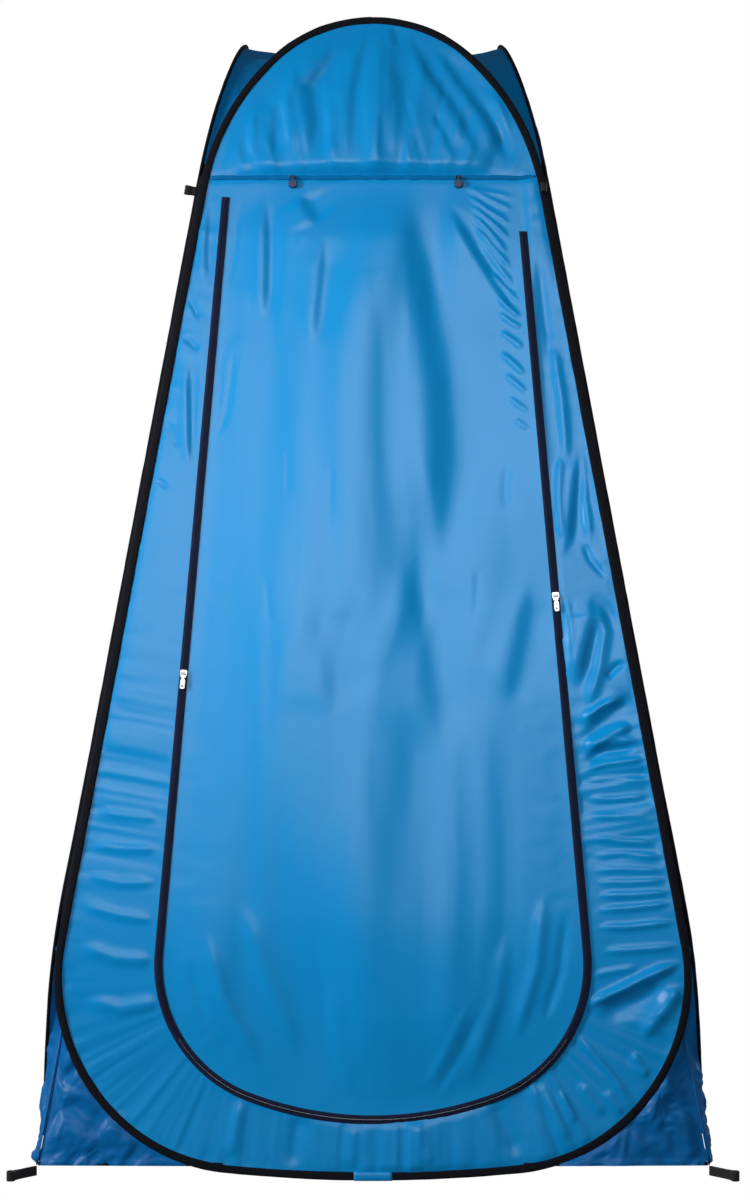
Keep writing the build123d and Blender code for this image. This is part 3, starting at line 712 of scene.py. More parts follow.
# ------------------------------------------------------------------ front wall: its folds
# each row: half width, height, skew, then the x, y points of the fold's line
FOLDS = [
    # header: a few narrow gathers beside the long steps below
    (0.00668, -0.0012, 0.3, 0.05227, 1.78002, 0.06892, 1.7092, 0.0855, 1.64583),
    (0.00501, -0.0012, 0.3, -0.24363, 1.69861, -0.25002, 1.66691, -0.25307, 1.63881),
    (0.01002, 0.0022, 0.3, -0.13018, 1.84412, -0.14664, 1.77292, -0.13921, 1.65637),
    (0.01002, 0.002, 0.2, -0.07248, 1.77292, -0.07232, 1.7198, -0.07211, 1.65285),
    (0.01169, 0.0018, 0.0, 0.02874, 1.84412, 0.03537, 1.75518, 0.03857, 1.65285),
    # door: faint upright lines
    (0.004342, -0.0008, 0.2, -0.1396, 1.17113, -0.13938, 1.13412, -0.13909, 1.08719),
    (0.00501, -0.0008, 0.2, -0.06727, 1.14757, -0.07035, 1.08385, -0.07183, 1.0338),
    (0.00501, -0.0007, 0.2, -0.17573, 0.95913, -0.17054, 0.91785, -0.16531, 0.86853),
    (0.004342, -0.0008, 0.2, 0.17096, 0.97402, 0.16735, 0.9261, 0.16378, 0.88166),
    (0.00668, -0.0012, 0.2, 0.22149, 1.14757, 0.2162, 1.10896, 0.21581, 1.06714),
    (0.004342, -0.0011, 0.2, -0.2241, 1.58978, -0.23167, 1.50969, -0.23929, 1.44049),
    (0.004342, -0.0011, 0.2, -0.25155, 1.34601, -0.25255, 1.28629, -0.25354, 1.22687),
    (0.00501, -0.0013, 0.2, -0.23157, 1.33404, -0.23439, 1.28629, -0.24207, 1.23195,
     -0.25632, 1.18125),
    # fan of creases from the right toggle
    (0.003674, 0.0016, 0.5, 0.14904, 1.61952, 0.19582, 1.60727, 0.23925, 1.59852),
    (0.003841, 0.0023, 0.5, 0.15237, 1.61777, 0.19572, 1.59503, 0.23567, 1.57581),
    (0.004008, 0.0026, 0.5, 0.15563, 1.60377, 0.19221, 1.57581, 0.23208, 1.55141),
    (0.004175, 0.0028, 0.5, 0.15887, 1.58804, 0.19208, 1.56012, 0.22849, 1.52532),
    (0.004342, 0.0028, 0.5, 0.1621, 1.57232, 0.19193, 1.54096, 0.22488, 1.49755),
    (0.004676, 0.003, 0.5, 0.1653, 1.55141, 0.19506, 1.51663, 0.23129, 1.47158),
    (0.004676, 0.0026, 0.5, 0.17513, 1.52705, 0.20149, 1.48889, 0.23759, 1.43704),
    (0.004342, 0.0028, 0.5, 0.19468, 1.47158, 0.22101, 1.44049, 0.24398, 1.41292),
    (0.004342, 0.0026, 0.5, 0.20428, 1.42842, 0.22401, 1.40776, 0.2454, 1.39058),
    (0.004008, 0.0024, 0.5, 0.2057, 1.40088, 0.2271, 1.38371, 0.2485, 1.36998),
    (0.004342, 0.0024, 0.5, 0.20872, 1.36827, 0.2301, 1.35285, 0.2498, 1.33746),
    (0.004676, 0.0026, 0.5, 0.20841, 1.33404, 0.22971, 1.31355, 0.2526, 1.29139),
    (0.004008, 0.002, 0.5, 0.21633, 1.2965, 0.23595, 1.27778, 0.25393, 1.26248),
    (0.004008, 0.0018, 0.5, 0.22254, 1.25569, 0.23888, 1.24212, 0.25689, 1.23195),
    (0.004008, 0.0014, 0.5, 0.23041, 1.21841, 0.24511, 1.20826, 0.25823, 1.20488),
    # lower door
    (0.01503, 0.0026, 0.4, -0.2114, 0.43407, -0.17555, 0.32415, -0.11472, 0.18442),
    (0.01169, 0.0026, 0.5, -0.26646, 0.38683, -0.23831, 0.27737, -0.17432, 0.169),
    (0.01002, -0.002, 0.2, -0.29596, 0.33979, -0.26315, 0.2432, -0.20887, 0.169),
    (0.01503, 0.0014, 0.3, -0.06796, 0.30854, -0.05508, 0.21531, -0.03291, 0.12288),
    (0.01336, 0.003, -0.4, 0.21412, 0.38683, 0.19728, 0.27737, 0.15222, 0.15361),
    (0.01169, 0.0036, -0.5, 0.27358, 0.44986, 0.26103, 0.3304, 0.22341, 0.20913),
    (0.00835, -0.0026, 0.2, 0.30655, 0.4183, 0.29575, 0.32415, 0.2678, 0.237),
    (0.00835, -0.0017, 0.3, 0.16875, 0.26183, 0.13997, 0.19985, 0.09562, 0.12902),
    (0.00835, 0.0014, 0.3, 0.15309, 0.27737, 0.11798, 0.20604, 0.07998, 0.13823),
    # right margin, upper: long soft folds
    (0.00835, 0.0036, 0.6, 0.28993, 1.3717, 0.30821, 1.2523, 0.31646, 1.13412),
    (0.00835, -0.0026, 0.2, 0.27167, 1.50969, 0.28518, 1.38886, 0.30207, 1.28629),
    (0.00668, 0.004, 0.3, 0.34495, 1.1745, 0.34522, 1.08385, 0.35387, 1.00885),
    (0.005845, 0.003, 0.2, 0.30877, 1.17113, 0.30104, 1.08385, 0.30494, 1.00885),
    # right margin, middle: crumples
    (0.00501, -0.0026, 0.2, 0.34258, 1.01716, 0.35348, 0.98396, 0.38061, 0.95086),
    (0.010855, 0.0065, 0.3, 0.36225, 0.92115, 0.37269, 0.86525, 0.36372, 0.81125,
     0.34315, 0.73479),
    (0.00501, 0.002, -0.2, 0.31356, 0.92445, 0.31783, 0.88166, 0.32038, 0.83249),
    (0.006012, -0.004, 0.4, 0.37624, 0.78679, 0.39273, 0.80635, 0.40901, 0.81288),
    (0.007014, 0.005, 0.5, 0.33486, 0.71859, 0.36742, 0.74128, 0.4015, 0.75426),
    (0.009185, 0.007, 0.5, 0.33579, 0.67335, 0.37145, 0.69271, 0.42006, 0.71211),
    (0.00668, -0.0045, 0.3, 0.33871, 0.65402, 0.37429, 0.67012, 0.42582, 0.67657),
    # right margin, low: level puckers, then a strong diagonal fold and the pocket under it
    (0.00501, 0.0036, 0.4, 0.33569, 0.6669, 0.3778, 0.68787, 0.42922, 0.68626),
    (0.004676, 0.0036, 0.5, 0.33365, 0.63793, 0.37394, 0.64919, 0.44154, 0.65885),
    (0.004342, 0.0026, 0.5, 0.33501, 0.62187, 0.38319, 0.62669, 0.44087, 0.62508),
    (0.004676, 0.0034, 0.5, 0.33781, 0.59462, 0.38581, 0.59302, 0.44674, 0.59782),
    (0.004342, 0.0022, 0.5, 0.33742, 0.56903, 0.38851, 0.56424, 0.45253, 0.56743),
    (0.004676, 0.0034, 0.5, 0.34323, 0.53076, 0.39742, 0.52598, 0.45797, 0.52121),
    (0.004676, 0.003, 0.5, 0.34597, 0.50214, 0.39708, 0.5069, 0.46392, 0.50055),
    (0.004342, 0.003, 0.5, 0.34881, 0.47993, 0.40299, 0.48152, 0.46664, 0.47835),
    (0.004342, 0.003, 0.5, 0.3517, 0.46093, 0.40899, 0.46093, 0.47271, 0.4641),
    (0.004676, 0.0038, 0.5, 0.35455, 0.44038, 0.40861, 0.44038, 0.47549, 0.44512),
    (0.004676, 0.0038, 0.5, 0.351, 0.41672, 0.40505, 0.41988, 0.47829, 0.42776),
    (0.00501, 0.0042, 0.5, 0.35057, 0.38997, 0.40133, 0.38997, 0.48082, 0.39783),
    (0.005344, 0.0036, 0.5, 0.35947, 0.35231, 0.41018, 0.35388, 0.4895, 0.36015),
    (0.00501, 0.0024, 0.5, 0.34303, 0.31322, 0.37794, 0.32103, 0.42234, 0.32728),
    (0.00835, 0.0085, 0.5, 0.32966, 0.26493, 0.3773, 0.2836, 0.43468, 0.31166, 0.49215, 0.33666),
    (0.0167, -0.007, 0.2, 0.35785, 0.25251, 0.41495, 0.27115, 0.4661, 0.3023),
    (0.01336, 0.007, -0.4, 0.49138, 0.3023, 0.45887, 0.25872, 0.42334, 0.21531),
    (0.00668, 0.004, 0.3, 0.40726, 0.19677, 0.41936, 0.17208, 0.43476, 0.15668),
    (0.006012, 0.0046, 0.4, 0.31646, 0.2246, 0.35669, 0.18133, 0.4089, 0.11675),
    (0.006012, 0.004, 0.4, 0.32167, 0.15053, 0.34624, 0.11675, 0.36468, 0.0953),
    (0.005678, 0.0032, 0.4, 0.29326, 0.13823, 0.30537, 0.10755, 0.31754, 0.08307),
    (0.005344, 0.003, 0.4, 0.36226, 0.13823, 0.38065, 0.11368, 0.3929, 0.09836),
    # left margin: fine level puckers beside the hoop
    (0.00668, 0.0026, 0.5, -0.44306, 0.57382, -0.39496, 0.56743, -0.3405, 0.56105),
    (0.00668, 0.0028, 0.5, -0.45155, 0.51962, -0.39719, 0.51326, -0.33977, 0.51326),
    (0.007515, 0.0028, 0.5, -0.45696, 0.47201, -0.40259, 0.45935, -0.34212, 0.45935),
    (0.007515, 0.003, 0.5, -0.46555, 0.42618, -0.40485, 0.40885, -0.34437, 0.39941),
    (0.01002, 0.0032, 0.5, -0.46736, 0.36171, -0.40675, 0.33979, -0.34023, 0.33666),
    (0.01169, 0.0036, 0.5, -0.45919, 0.27426, -0.399, 0.26183, -0.32664, 0.27426),
    # left margin, upper: short creases
    (0.004008, -0.0022, 0.3, -0.31065, 1.43359, -0.29873, 1.4112, -0.28683, 1.38886),
    (0.004676, -0.0018, 0.3, -0.31462, 1.3597, -0.30122, 1.34772, -0.28617, 1.33575),
    (0.003674, -0.0014, 0.3, -0.334, 1.3255, -0.32887, 1.31355, -0.32204, 1.29821),
    (0.004342, -0.0012, 0.3, -0.34067, 1.21841, -0.33046, 1.19475, -0.32021, 1.16776),
    (0.003674, -0.0016, 0.3, -0.35394, 1.11902, -0.34562, 1.11063, -0.33567, 1.10226),
    # bottom margin
    (0.01169, 0.003, 0.4, -0.20846, 0.12595, -0.2205, 0.07695, -0.22937, 0.02818),
    (0.01336, -0.003, 0.2, -0.1143, 0.10449, -0.12346, 0.06169, -0.12943, 0.01602),
    (0.01169, 0.0026, 0.4, -0.03286, 0.08918, -0.03593, 0.05254, -0.03898, 0.01298),
    (0.01336, 0.003, -0.4, 0.07355, 0.09224, 0.07967, 0.05254, 0.08889, 0.01602),
    (0.01336, -0.0032, 0.2, 0.18654, 0.12902, 0.20492, 0.08307, 0.2294, 0.03122),
    (0.01169, 0.0034, -0.4, 0.24642, 0.15668, 0.28036, 0.11061, 0.31085, 0.05254),
]
# each row: half width, drop, then the x, y points of the step's line
DRAPES = [
    # header
    (0.00835, 0.003, -0.00678, 1.91217, -0.02535, 1.8352, -0.03542, 1.78535, -0.04027, 1.6634),
    (0.01336, 0.0063, -0.06097, 1.88347, -0.0862, 1.83698, -0.11137, 1.79779, -0.10263, 1.72863,
     -0.10732, 1.65285),
    (0.004342, 0.0017, -0.19709, 1.75873, -0.19458, 1.65988),
    (0.004342, 0.0015, -0.22048, 1.73748, -0.22139, 1.65637),
    (0.00668, 0.0022, -0.16519, 1.77292, -0.1678, 1.66691),
    (0.009185, 0.0045, 0.05761, 1.89781, 0.09122, 1.8245, 0.13977, 1.74987, 0.17951, 1.6634),
    (0.009185, 0.0045, 0.10326, 1.87273, 0.1485, 1.79957, 0.19684, 1.72863, 0.22642, 1.65637),
    (0.00835, 0.0036, 0.20601, 1.81559, 0.23419, 1.76227, 0.25032, 1.69509),
    (0.004008, 0.0012, 0.05551, 1.72333, 0.06372, 1.65285),
    (0.00501, 0.0012, 0.00842, 1.75164, 0.01006, 1.65285),
    (0.00501, 0.0015, 0.03052, 1.91217, 0.03893, 1.86915),
    (0.00501, 0.0017, 0.09599, 1.75164, 0.11933, 1.70567, 0.13587, 1.65988),
    (0.007515, -0.0027, 0.18221, 1.79423, 0.21701, 1.72687, 0.24157, 1.66164),
    # door: the broad band right of the middle and what it runs into
    (0.03006, 0.0125, 0.05188, 1.60377, 0.07658, 1.48196, 0.09442, 1.36827, 0.10721, 1.26928,
     0.11166, 1.16776, 0.10952, 1.0638, 0.10085, 0.95086),
    (0.02004, 0.004, 0.04724, 0.98396, 0.07623, 0.88495, 0.09513, 0.75426, 0.10757, 0.65724),
    (0.00835, 0.0039, 0.12209, 1.58978, 0.16832, 1.50795, 0.21267, 1.43704, 0.24701, 1.38542),
    (0.007515, 0.0033, -0.17903, 1.60027, -0.17651, 1.48889, -0.17898, 1.37856),
    (0.00835, 0.0027, -0.08008, 1.53401, -0.08807, 1.44049, -0.09759, 1.33404),
    (0.01002, 0.0033, -0.12216, 1.60377, -0.10866, 1.5793, -0.09183, 1.55141),
    (0.01503, 0.0032, 0.25537, 0.95086, 0.23968, 0.85213, 0.2143, 0.73803),
    (0.02004, 0.0024, -0.10232, 0.91785, -0.08247, 0.81941, -0.06279, 0.72183),
    # left margin
    (0.006012, 0.0024, -0.27444, 1.60377, -0.27833, 1.50969, -0.27414, 1.43704),
    (0.004676, 0.0027, -0.30428, 1.32891, -0.30327, 1.2523, -0.30058, 1.17282, -0.29502, 1.12405),
    # right margin
    (0.007682, 0.0048, 0.34166, 1.1745, 0.32883, 1.08218, 0.32142, 1.02048, 0.3095, 0.98396),
    (0.01169, 0.0075, 0.35103, 0.93105, 0.36172, 0.88823, 0.34632, 0.83576, 0.33079, 0.77051),
    (0.00835, -0.0051, 0.33286, 0.69271, 0.3689, 0.73317, 0.42109, 0.76726),
]


def front_height(x, y, hoop, hoop_s, zipper, zip_s):
    """Noise part of the front's relief; hoop, zipper: signed distances; _s: arc lengths there."""
    header = smooth(SEAM_Y - 0.004, SEAM_Y + 0.012, y)
    # header: gathers that fan from the arch down to the seam
    fan, radius = np.arctan2(x, y - 1.15), np.hypot(x, y - 1.15)
    gathers = noise(fan * 15 + 0.25 * noise(radius * 4, fan * 3, 91), radius * 1.6, 5)
    gathers += 0.35 * noise(fan * 34 + 3, radius * 2.0, 6)
    relief = 0.0036 * gathers + 0.0005 * noise(fan * 70, radius * 4, 8)
    relief = relief * (0.35 + 0.65 * smooth(0.0, 0.10, -hoop)) + 0.016 * smooth(0, 0.2, -hoop)
    total = header * relief * smooth(0.0, 0.03, y - SEAM_Y + 0.004) * smooth(0.0, 0.045, -hoop)
    # door and the strip above it: slow billow, with broad, middling and fine upright swells
    inside = smooth(0.0, 0.05, -zipper) * (y < SEAM_Y)
    swell = noise(x * 5.2 + 0.8 * noise(x * 3, y * 1.4, 21), y * 0.9 + 5, 22) * 0.009
    swell += noise(x * 12 + 0.5 * noise(x * 6, y * 2.4, 23), y * 1.2, 24) * 0.0042
    swell += noise(x * 30 + noise(x * 9, y * 4, 27), y * 2.2, 28) * 0.0011
    total += inside * smooth(0.0, 0.16, -zipper) * (0.010 + swell) * smooth(0.0, 0.12, SEAM_Y - y)
    total += inside * edge_puckers(zipper, zip_s, reach=0.040, pitch=0.028, height=0.0010, seed=31)
    # margin round the door: puckers square to the hoop, stronger low down and on the right
    margin = (1 - header) * smooth(-0.004, 0.004, zipper)
    right = smooth(-0.05, 0.05, x)
    level = np.exp(-((y - 0.62) / 0.13) ** 4)       # beside the door's lower half
    foot = smooth(0.34, 0.20, y)
    band = smooth(0.0, 0.016, zipper) * smooth(0.0, 0.016, -hoop)
    run = hoop_s / 0.0155 + 0.6 * noise(hoop_s / 0.22, hoop / 0.20, 41)
    puckers = noise(run, hoop / 0.34, 42) + 0.45 * noise(run * 2.1 + 9, hoop / 0.22, 43)
    strength = level * (0.0009 + 0.0008 * right) + foot * (0.0007 + 0.0009 * right) + 0.00015
    total += margin * band * puckers * strength
    total += margin * band * 0.004 * noise(hoop_s / 0.24, hoop / 0.22, 44) * (0.5 + right)
    total += margin * edge_puckers(hoop, hoop_s, reach=0.030, pitch=0.017, height=0.0009, seed=45)
    return total


# ------------------------------------------------------------------ front wall: cloth
HOOP = hoop_path(0.004)
HALF_SHEET, SHEET_TOP = 0.52, 1.925     # a sheet reaches just past the hoop
CLOTH_EDGE = -0.0025                    # cloth ends this far inside the hoop's centre line
STEP_MIDS = [DOOR_TOP - (k + 0.5) * STEP for k in range(STEPS)]
# each door strip's upper and lower limit; the first and last are open-ended
STRIPS = [(STEP_MIDS[k - 1] if k else 2.0, STEP_MIDS[k] if k < STEPS - 1 else -1.0)
          for k in range(STEPS)]
BODIES = ["front"] + ["door_step_%d" % k for k in range(2, STEPS + 1)]


def bend(piece, k, reach=0.020):
    """Door strip k crosses the hinge between step k and step k + 1."""
    out = 0.00435 if k % 2 else 0.00265
    hinge = DOOR_TOP - k * STEP
    start, end = (tuple(flat("front", 0, hinge + d, out)) for d in (reach, -reach))
    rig.blend(piece, BODIES[k - 1], BODIES[k], start=start, end=end)


def front_wall():
    cell = 0.008 if QUICK else 0.004
    keys = sorted([0.0, DOOR_TOP, SEAM_Y, SHEET_TOP] + STEP_MIDS[1:] + [0.06])
    sheet = Sheet("front", lines([-HALF_SHEET, 0.0, HALF_SHEET], cell), lines(keys, cell))
    x, y = sheet.x, sheet.y
    hoop, hoop_s, hoop_n = edge_field(x, y, HOOP)
    zipper, zip_s, zip_n = edge_field(x, y, zip_path(0.004, ZIP_TOP_LEFT, ZIP_TOP_LEFT))
    relief = front_height(x, y, hoop, hoop_s, zipper, zip_s)
    # folds die out at the zipper, the hoop and the seam
    fade = (smooth(0.0, 0.022, np.abs(zipper)) * smooth(0.0, 0.02, -hoop)
            * smooth(0.0, 0.02, np.abs(y - SEAM_Y)))
    for width, height, skew, *points in FOLDS:
        relief += fold(x, y, np.reshape(points, (-1, 2)), width, height, skew) * fade
    for width, drop, *points in DRAPES:
        relief += drape(x, y, np.reshape(points, (-1, 2)), width, drop) * fade
    sheet.out = CLOTH_OUT + relief - seam_dip(y, hoop)

    cell_y, cell_zip = sheet.cell_y, cell_mean(zipper)
    in_hoop = cell_mean(hoop) < -0.002
    hoop_snap = (hoop, hoop_n, CLOTH_EDGE, 0.008)
    header = sheet.piece("header_cloth", in_hoop & (cell_y > SEAM_Y), "cloth_blue", [hoop_snap])
    attach(header, "front", "front_header")
    around = in_hoop & (cell_y < SEAM_Y) & ~((cell_zip < ZIP_GAP) & (cell_y < DOOR_TOP))
    # the large offset keeps rims above the door from being pulled to the zipper
    zip_snap = (zipper + (y > DOOR_TOP + 0.001) * 9, zip_n, ZIP_GAP, 0.006)
    surround = sheet.piece("surround_cloth", around, "cloth_blue", [hoop_snap, zip_snap])
    attach(surround, "front", "front_surround")

    door = (cell_zip < -ZIP_GAP) & (cell_y < DOOR_TOP)
    for k, (high, low) in enumerate(STRIPS):
        # the door cloth's slightly lighter colour is painted light
        strip = sheet.piece("door_cloth_%02d" % (k + 1), door & (cell_y < high) & (cell_y > low),
                            "cloth_door", [(zipper, zip_n, -ZIP_GAP, 0.006)])
        if k == 0:
            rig.ride(strip, "front")
        else:
            bend(strip, k)
        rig.replaces(strip, "door_panel_%02d" % (k + 1))


front_wall()


# ------------------------------------------------------------------ header seam: felled double layer
def header_seam(side, name, *replaced):
    count = 160
    t = np.linspace(-1, 1, count)
    points = np.stack([t * SEAM_HALF, SEAM_Y + 0.0006 * noise(t * 20, t * 0, 61)], -1)

    def wobble(across, height):
        k = noise(np.linspace(0, 60, count)[:, None] + 0 * across, 0 * across, 62)
        return across * (1 + 0.12 * k), height + 0.0004 * k

    # the band is drawn in the roof's darker colour, which is painted shade
    band = sweep(name, side, points, np.repeat([[0.0, 1.0]], count, 0),
                 rounded_section(0.0036, 0.0010, mid=0.0036, count=12), "cloth_roof",
                 closed=False, wobble=wobble)
    attach(band, side, *replaced)


header_seam("front", "header_seam_band", "front_header_seam")

# ------------------------------------------------------------------ zipper
TAPE_WIDTH = 0.0068
COIL_MID = 0.0056                       # height of the coil's middle
COIL_OFFSET = 0.0009                    # each turn's centre from the zipper's line
COIL_PITCH = 0.0030 if QUICK else 0.0020
COIL_SIZE = (0.0030, 0.0011, 0.0014)    # across the line, along it, outward
# half tape: across from the centre line, height
TAPE_SECTION = [(0.0002, 0.0041), (TAPE_WIDTH, 0.0041), (TAPE_WIDTH, 0.0047),
                (TAPE_WIDTH - 0.0004, 0.0050), (0.0026, 0.0052), (0.0002, 0.0052)]


def zip_tape(name, sign, points, normals):
    section = [(sign * across, height) for across, height in TAPE_SECTION]
    return sweep(name, "front", points, normals, section[::sign], "zip_tape_navy", closed=False)


def zip_coil(name, sign, points, normals):
    """Coil turns, each a small block that reaches over the centre line."""
    length = arc_length(points)
    count = max(2, int(length[-1] / COIL_PITCH))
    at = (np.arange(count) + (0.25 if sign > 0 else 0.75)) / count * length[-1]
    x, y = (np.interp(at, length, points[:, i]) for i in (0, 1))
    nx, ny = (np.interp(at, length, normals[:, i]) for i in (0, 1))
    centres = place("front", x + nx * sign * COIL_OFFSET, y + ny * sign * COIL_OFFSET, COIL_MID)
    across, up, out = panel_axes("front")
    axes = [nx[:, None] * across + ny[:, None] * up, -ny[:, None] * across + nx[:, None] * up,
            np.repeat([out], count, 0)]
    return blocks(name, centres, axes, COIL_SIZE, "zip_tape_navy")


def zip_half(name, sign, runs, k=0):
    """Tape and coil on one side of the line (sign 1: outside); strip k > 0 bends with the door."""
    pieces = []
    for i, run in enumerate(runs):
        for kind, build in (("tape", zip_tape), ("coil", zip_coil)):
            piece = build(f"{name}_{kind}_{i}", sign, *run)
            if k:
                bend(piece, k)
            else:
                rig.ride(piece, "front")
            pieces.append(piece)
    return pieces


ZIP_POINTS, ZIP_NORMALS = zip_path(0.006 if QUICK else 0.003, ZIP_TOP_RIGHT, ZIP_TOP_LEFT)


def zip_leg(low, high, side):
    """Part of the line between two heights on one side, top first, with exact ends."""
    x, y = ZIP_POINTS.T
    keep = (y <= high + 1e-9) & (y >= low - 1e-9) & (x * side > 0)
    points, normals = ZIP_POINTS[keep], ZIP_NORMALS[keep]
    for end in (min(high, ZIP_TOP_RIGHT if side > 0 else ZIP_TOP_LEFT), low):
        on_straight = ZIP_CORNER_C[1] + ZIP_CORNER_R * ZIP_NORMAL[1] < end
        if on_straight and np.abs(points[:, 1] - end).min() > 1e-4:
            points = np.vstack([points, (side * zip_leg_x(end), end)])
            normals = np.vstack([normals, (side * ZIP_NORMAL[0], ZIP_NORMAL[1])])
    order = np.argsort(-points[:, 1])
    return points[order], normals[order]


def zip_bottom(high):
    """The line below a height: both lower legs and the bottom, in one run."""
    keep = ZIP_POINTS[:, 1] <= high + 1e-9
    x = zip_leg_x(high)
    points = np.vstack([(x, high), ZIP_POINTS[keep], (-x, high)])
    normals = np.vstack([ZIP_NORMAL, ZIP_NORMALS[keep], (-ZIP_NORMAL[0], ZIP_NORMAL[1])])
    keep = np.r_[True, np.linalg.norm(np.diff(points, axis=0), axis=1) > 1e-5]
    return points[keep], normals[keep]


frame_half = zip_half("zip_frame_side", 1, [(ZIP_POINTS, ZIP_NORMALS)])
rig.replaces(frame_half[0], "zipper_frame_side")

for k, (high, low) in enumerate(STRIPS):
    if k < STEPS - 1:
        left_points, left_normals = zip_leg(low, high, -1)
        runs = [zip_leg(low, high, 1), (left_points[::-1], left_normals[::-1])]
    else:
        runs = [zip_bottom(high)]
    door_half = zip_half("zip_door_side_%02d" % (k + 1), -1, runs, k)
    if k == 0:
        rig.replaces(door_half[0], "zipper_door_side")


# ------------------------------------------------------------------ other walls
def wall(side, seed):
    cell = 0.010 if QUICK else 0.006
    sheet = Sheet(side, lines([-HALF_SHEET, 0.0, HALF_SHEET], cell),
                  lines([0.0, SEAM_Y, SHEET_TOP], cell))
    x, y = sheet.x, sheet.y
    hoop, along, normal = edge_field(x, y, HOOP)
    header = smooth(SEAM_Y - 0.004, SEAM_Y + 0.012, y)
    # header: gathers that fan from the arch
    fan, radius = np.arctan2(x, y - 1.15), np.hypot(x, y - 1.15)
    warp = 0.6 * noise(radius * 9, fan * 5, seed)
    gathers = 0.0065 * (noise(fan * 22 + warp, radius * 3.2, seed + 1)
                        + 0.5 * noise(fan * 47, radius * 5, seed + 2))
    # wall: billow with broad, middling and fine upright swells
    swell = 0.014 + noise(x * 4.6 + 0.8 * noise(x * 3, y * 1.4, seed + 3), y * 0.8 + 5,
                          seed + 4) * 0.013
    swell += noise(x * 10 + y * 1.5 + 0.6 * noise(x * 6, y * 2.4, seed + 5), y * 1.6,
                   seed + 6) * 0.005
    swell += noise(x * 26 + noise(x * 9, y * 4, seed + 7), y * 4.0, seed + 8) * 0.0012
    # ripples beside the hoop, stronger low down
    low = smooth(1.1, 0.4, y)
    ripples = octaves(along / 0.045 + 0.8 * noise(along / 0.09, hoop / 0.05, seed + 9),
                      hoop / 0.16, seed + 10, 3)
    relief = header * (gathers + 0.014 * smooth(0, 0.2, -hoop))
    relief += (1 - header) * smooth(0.0, 0.22, -hoop) * swell
    relief += ((1 - header) * (0.002 + 0.003 * low) * ripples * np.exp(-(hoop / 0.13) ** 2)
               * smooth(0, 0.02, -hoop))
    relief += edge_puckers(hoop, along, reach=0.035, pitch=0.018, height=0.0022, seed=seed + 12)
    relief *= smooth(0.0, 0.03, -hoop) * (0.25 + 0.75 * smooth(0.0, 0.03, np.abs(y - SEAM_Y)))
    sheet.out = CLOTH_OUT + relief - seam_dip(y, hoop)
    cloth = sheet.piece(side + "_wall_cloth", cell_mean(hoop) < -0.002, "cloth_blue",
                        [(hoop, normal, CLOTH_EDGE, 0.010)])
    attach(cloth, side, side + "_wall")
    header_seam(side, side + "_seam_band")


for side, seed in (("left", 200), ("right", 300), ("back", 400)):
    wall(side, seed)

# ------------------------------------------------------------------ hoop bindings
BINDING_POINTS, BINDING_NORMALS = hoop_path(0.012 if QUICK else 0.005)
BINDING_S = arc_length(BINDING_POINTS)


def binding(side, row):
    def wobble(across, height):
        coarse, fine = (noise(BINDING_S[:, None] / pitch + 0 * across, 0 * across + row, seed)
                        for pitch, seed in ((0.05, 71), (0.021, 72)))
        return (across * (1 + 0.05 * coarse + 0.03 * fine),
                TAPE_MID + (height - TAPE_MID) * (1 + 0.08 * fine))

    tape = sweep(side + "_binding_tape", side, BINDING_POINTS, BINDING_NORMALS,
                 rounded_section(0.0064, 0.0028, TAPE_MID, count=16, power=2.8),
                 "binding_black", wobble=wobble)
    attach(tape, side, side + "_hoop_binding", side + "_hoop_wire", side + "_hoop_ferrule")


def binding_joint(half_length=0.0348):
    """Blue sleeve round the binding at the bottom middle of the front hoop."""
    x, y = BINDING_POINTS.T
    near = np.where((y < 0.02) & (np.abs(x) < half_length))[0]
    order = near[np.argsort(x[near])]
    joint = sweep("front_binding_joint", "front", BINDING_POINTS[order], BINDING_NORMALS[order],
                  rounded_section(0.0072, 0.0034, TAPE_MID, count=16, power=2.8), "cloth_blue",
                  closed=False)
    attach(joint, "front")


for i, side in enumerate(SIDES):
    binding(side, i)
binding_joint()


# ------------------------------------------------------------------ skirts
def tuck(y):
    """How far the slack corner below the hoops falls in from the ideal corner line, in x and y."""
    return 0.030 * smooth(0.44, 0.20, np.asarray(y, float))


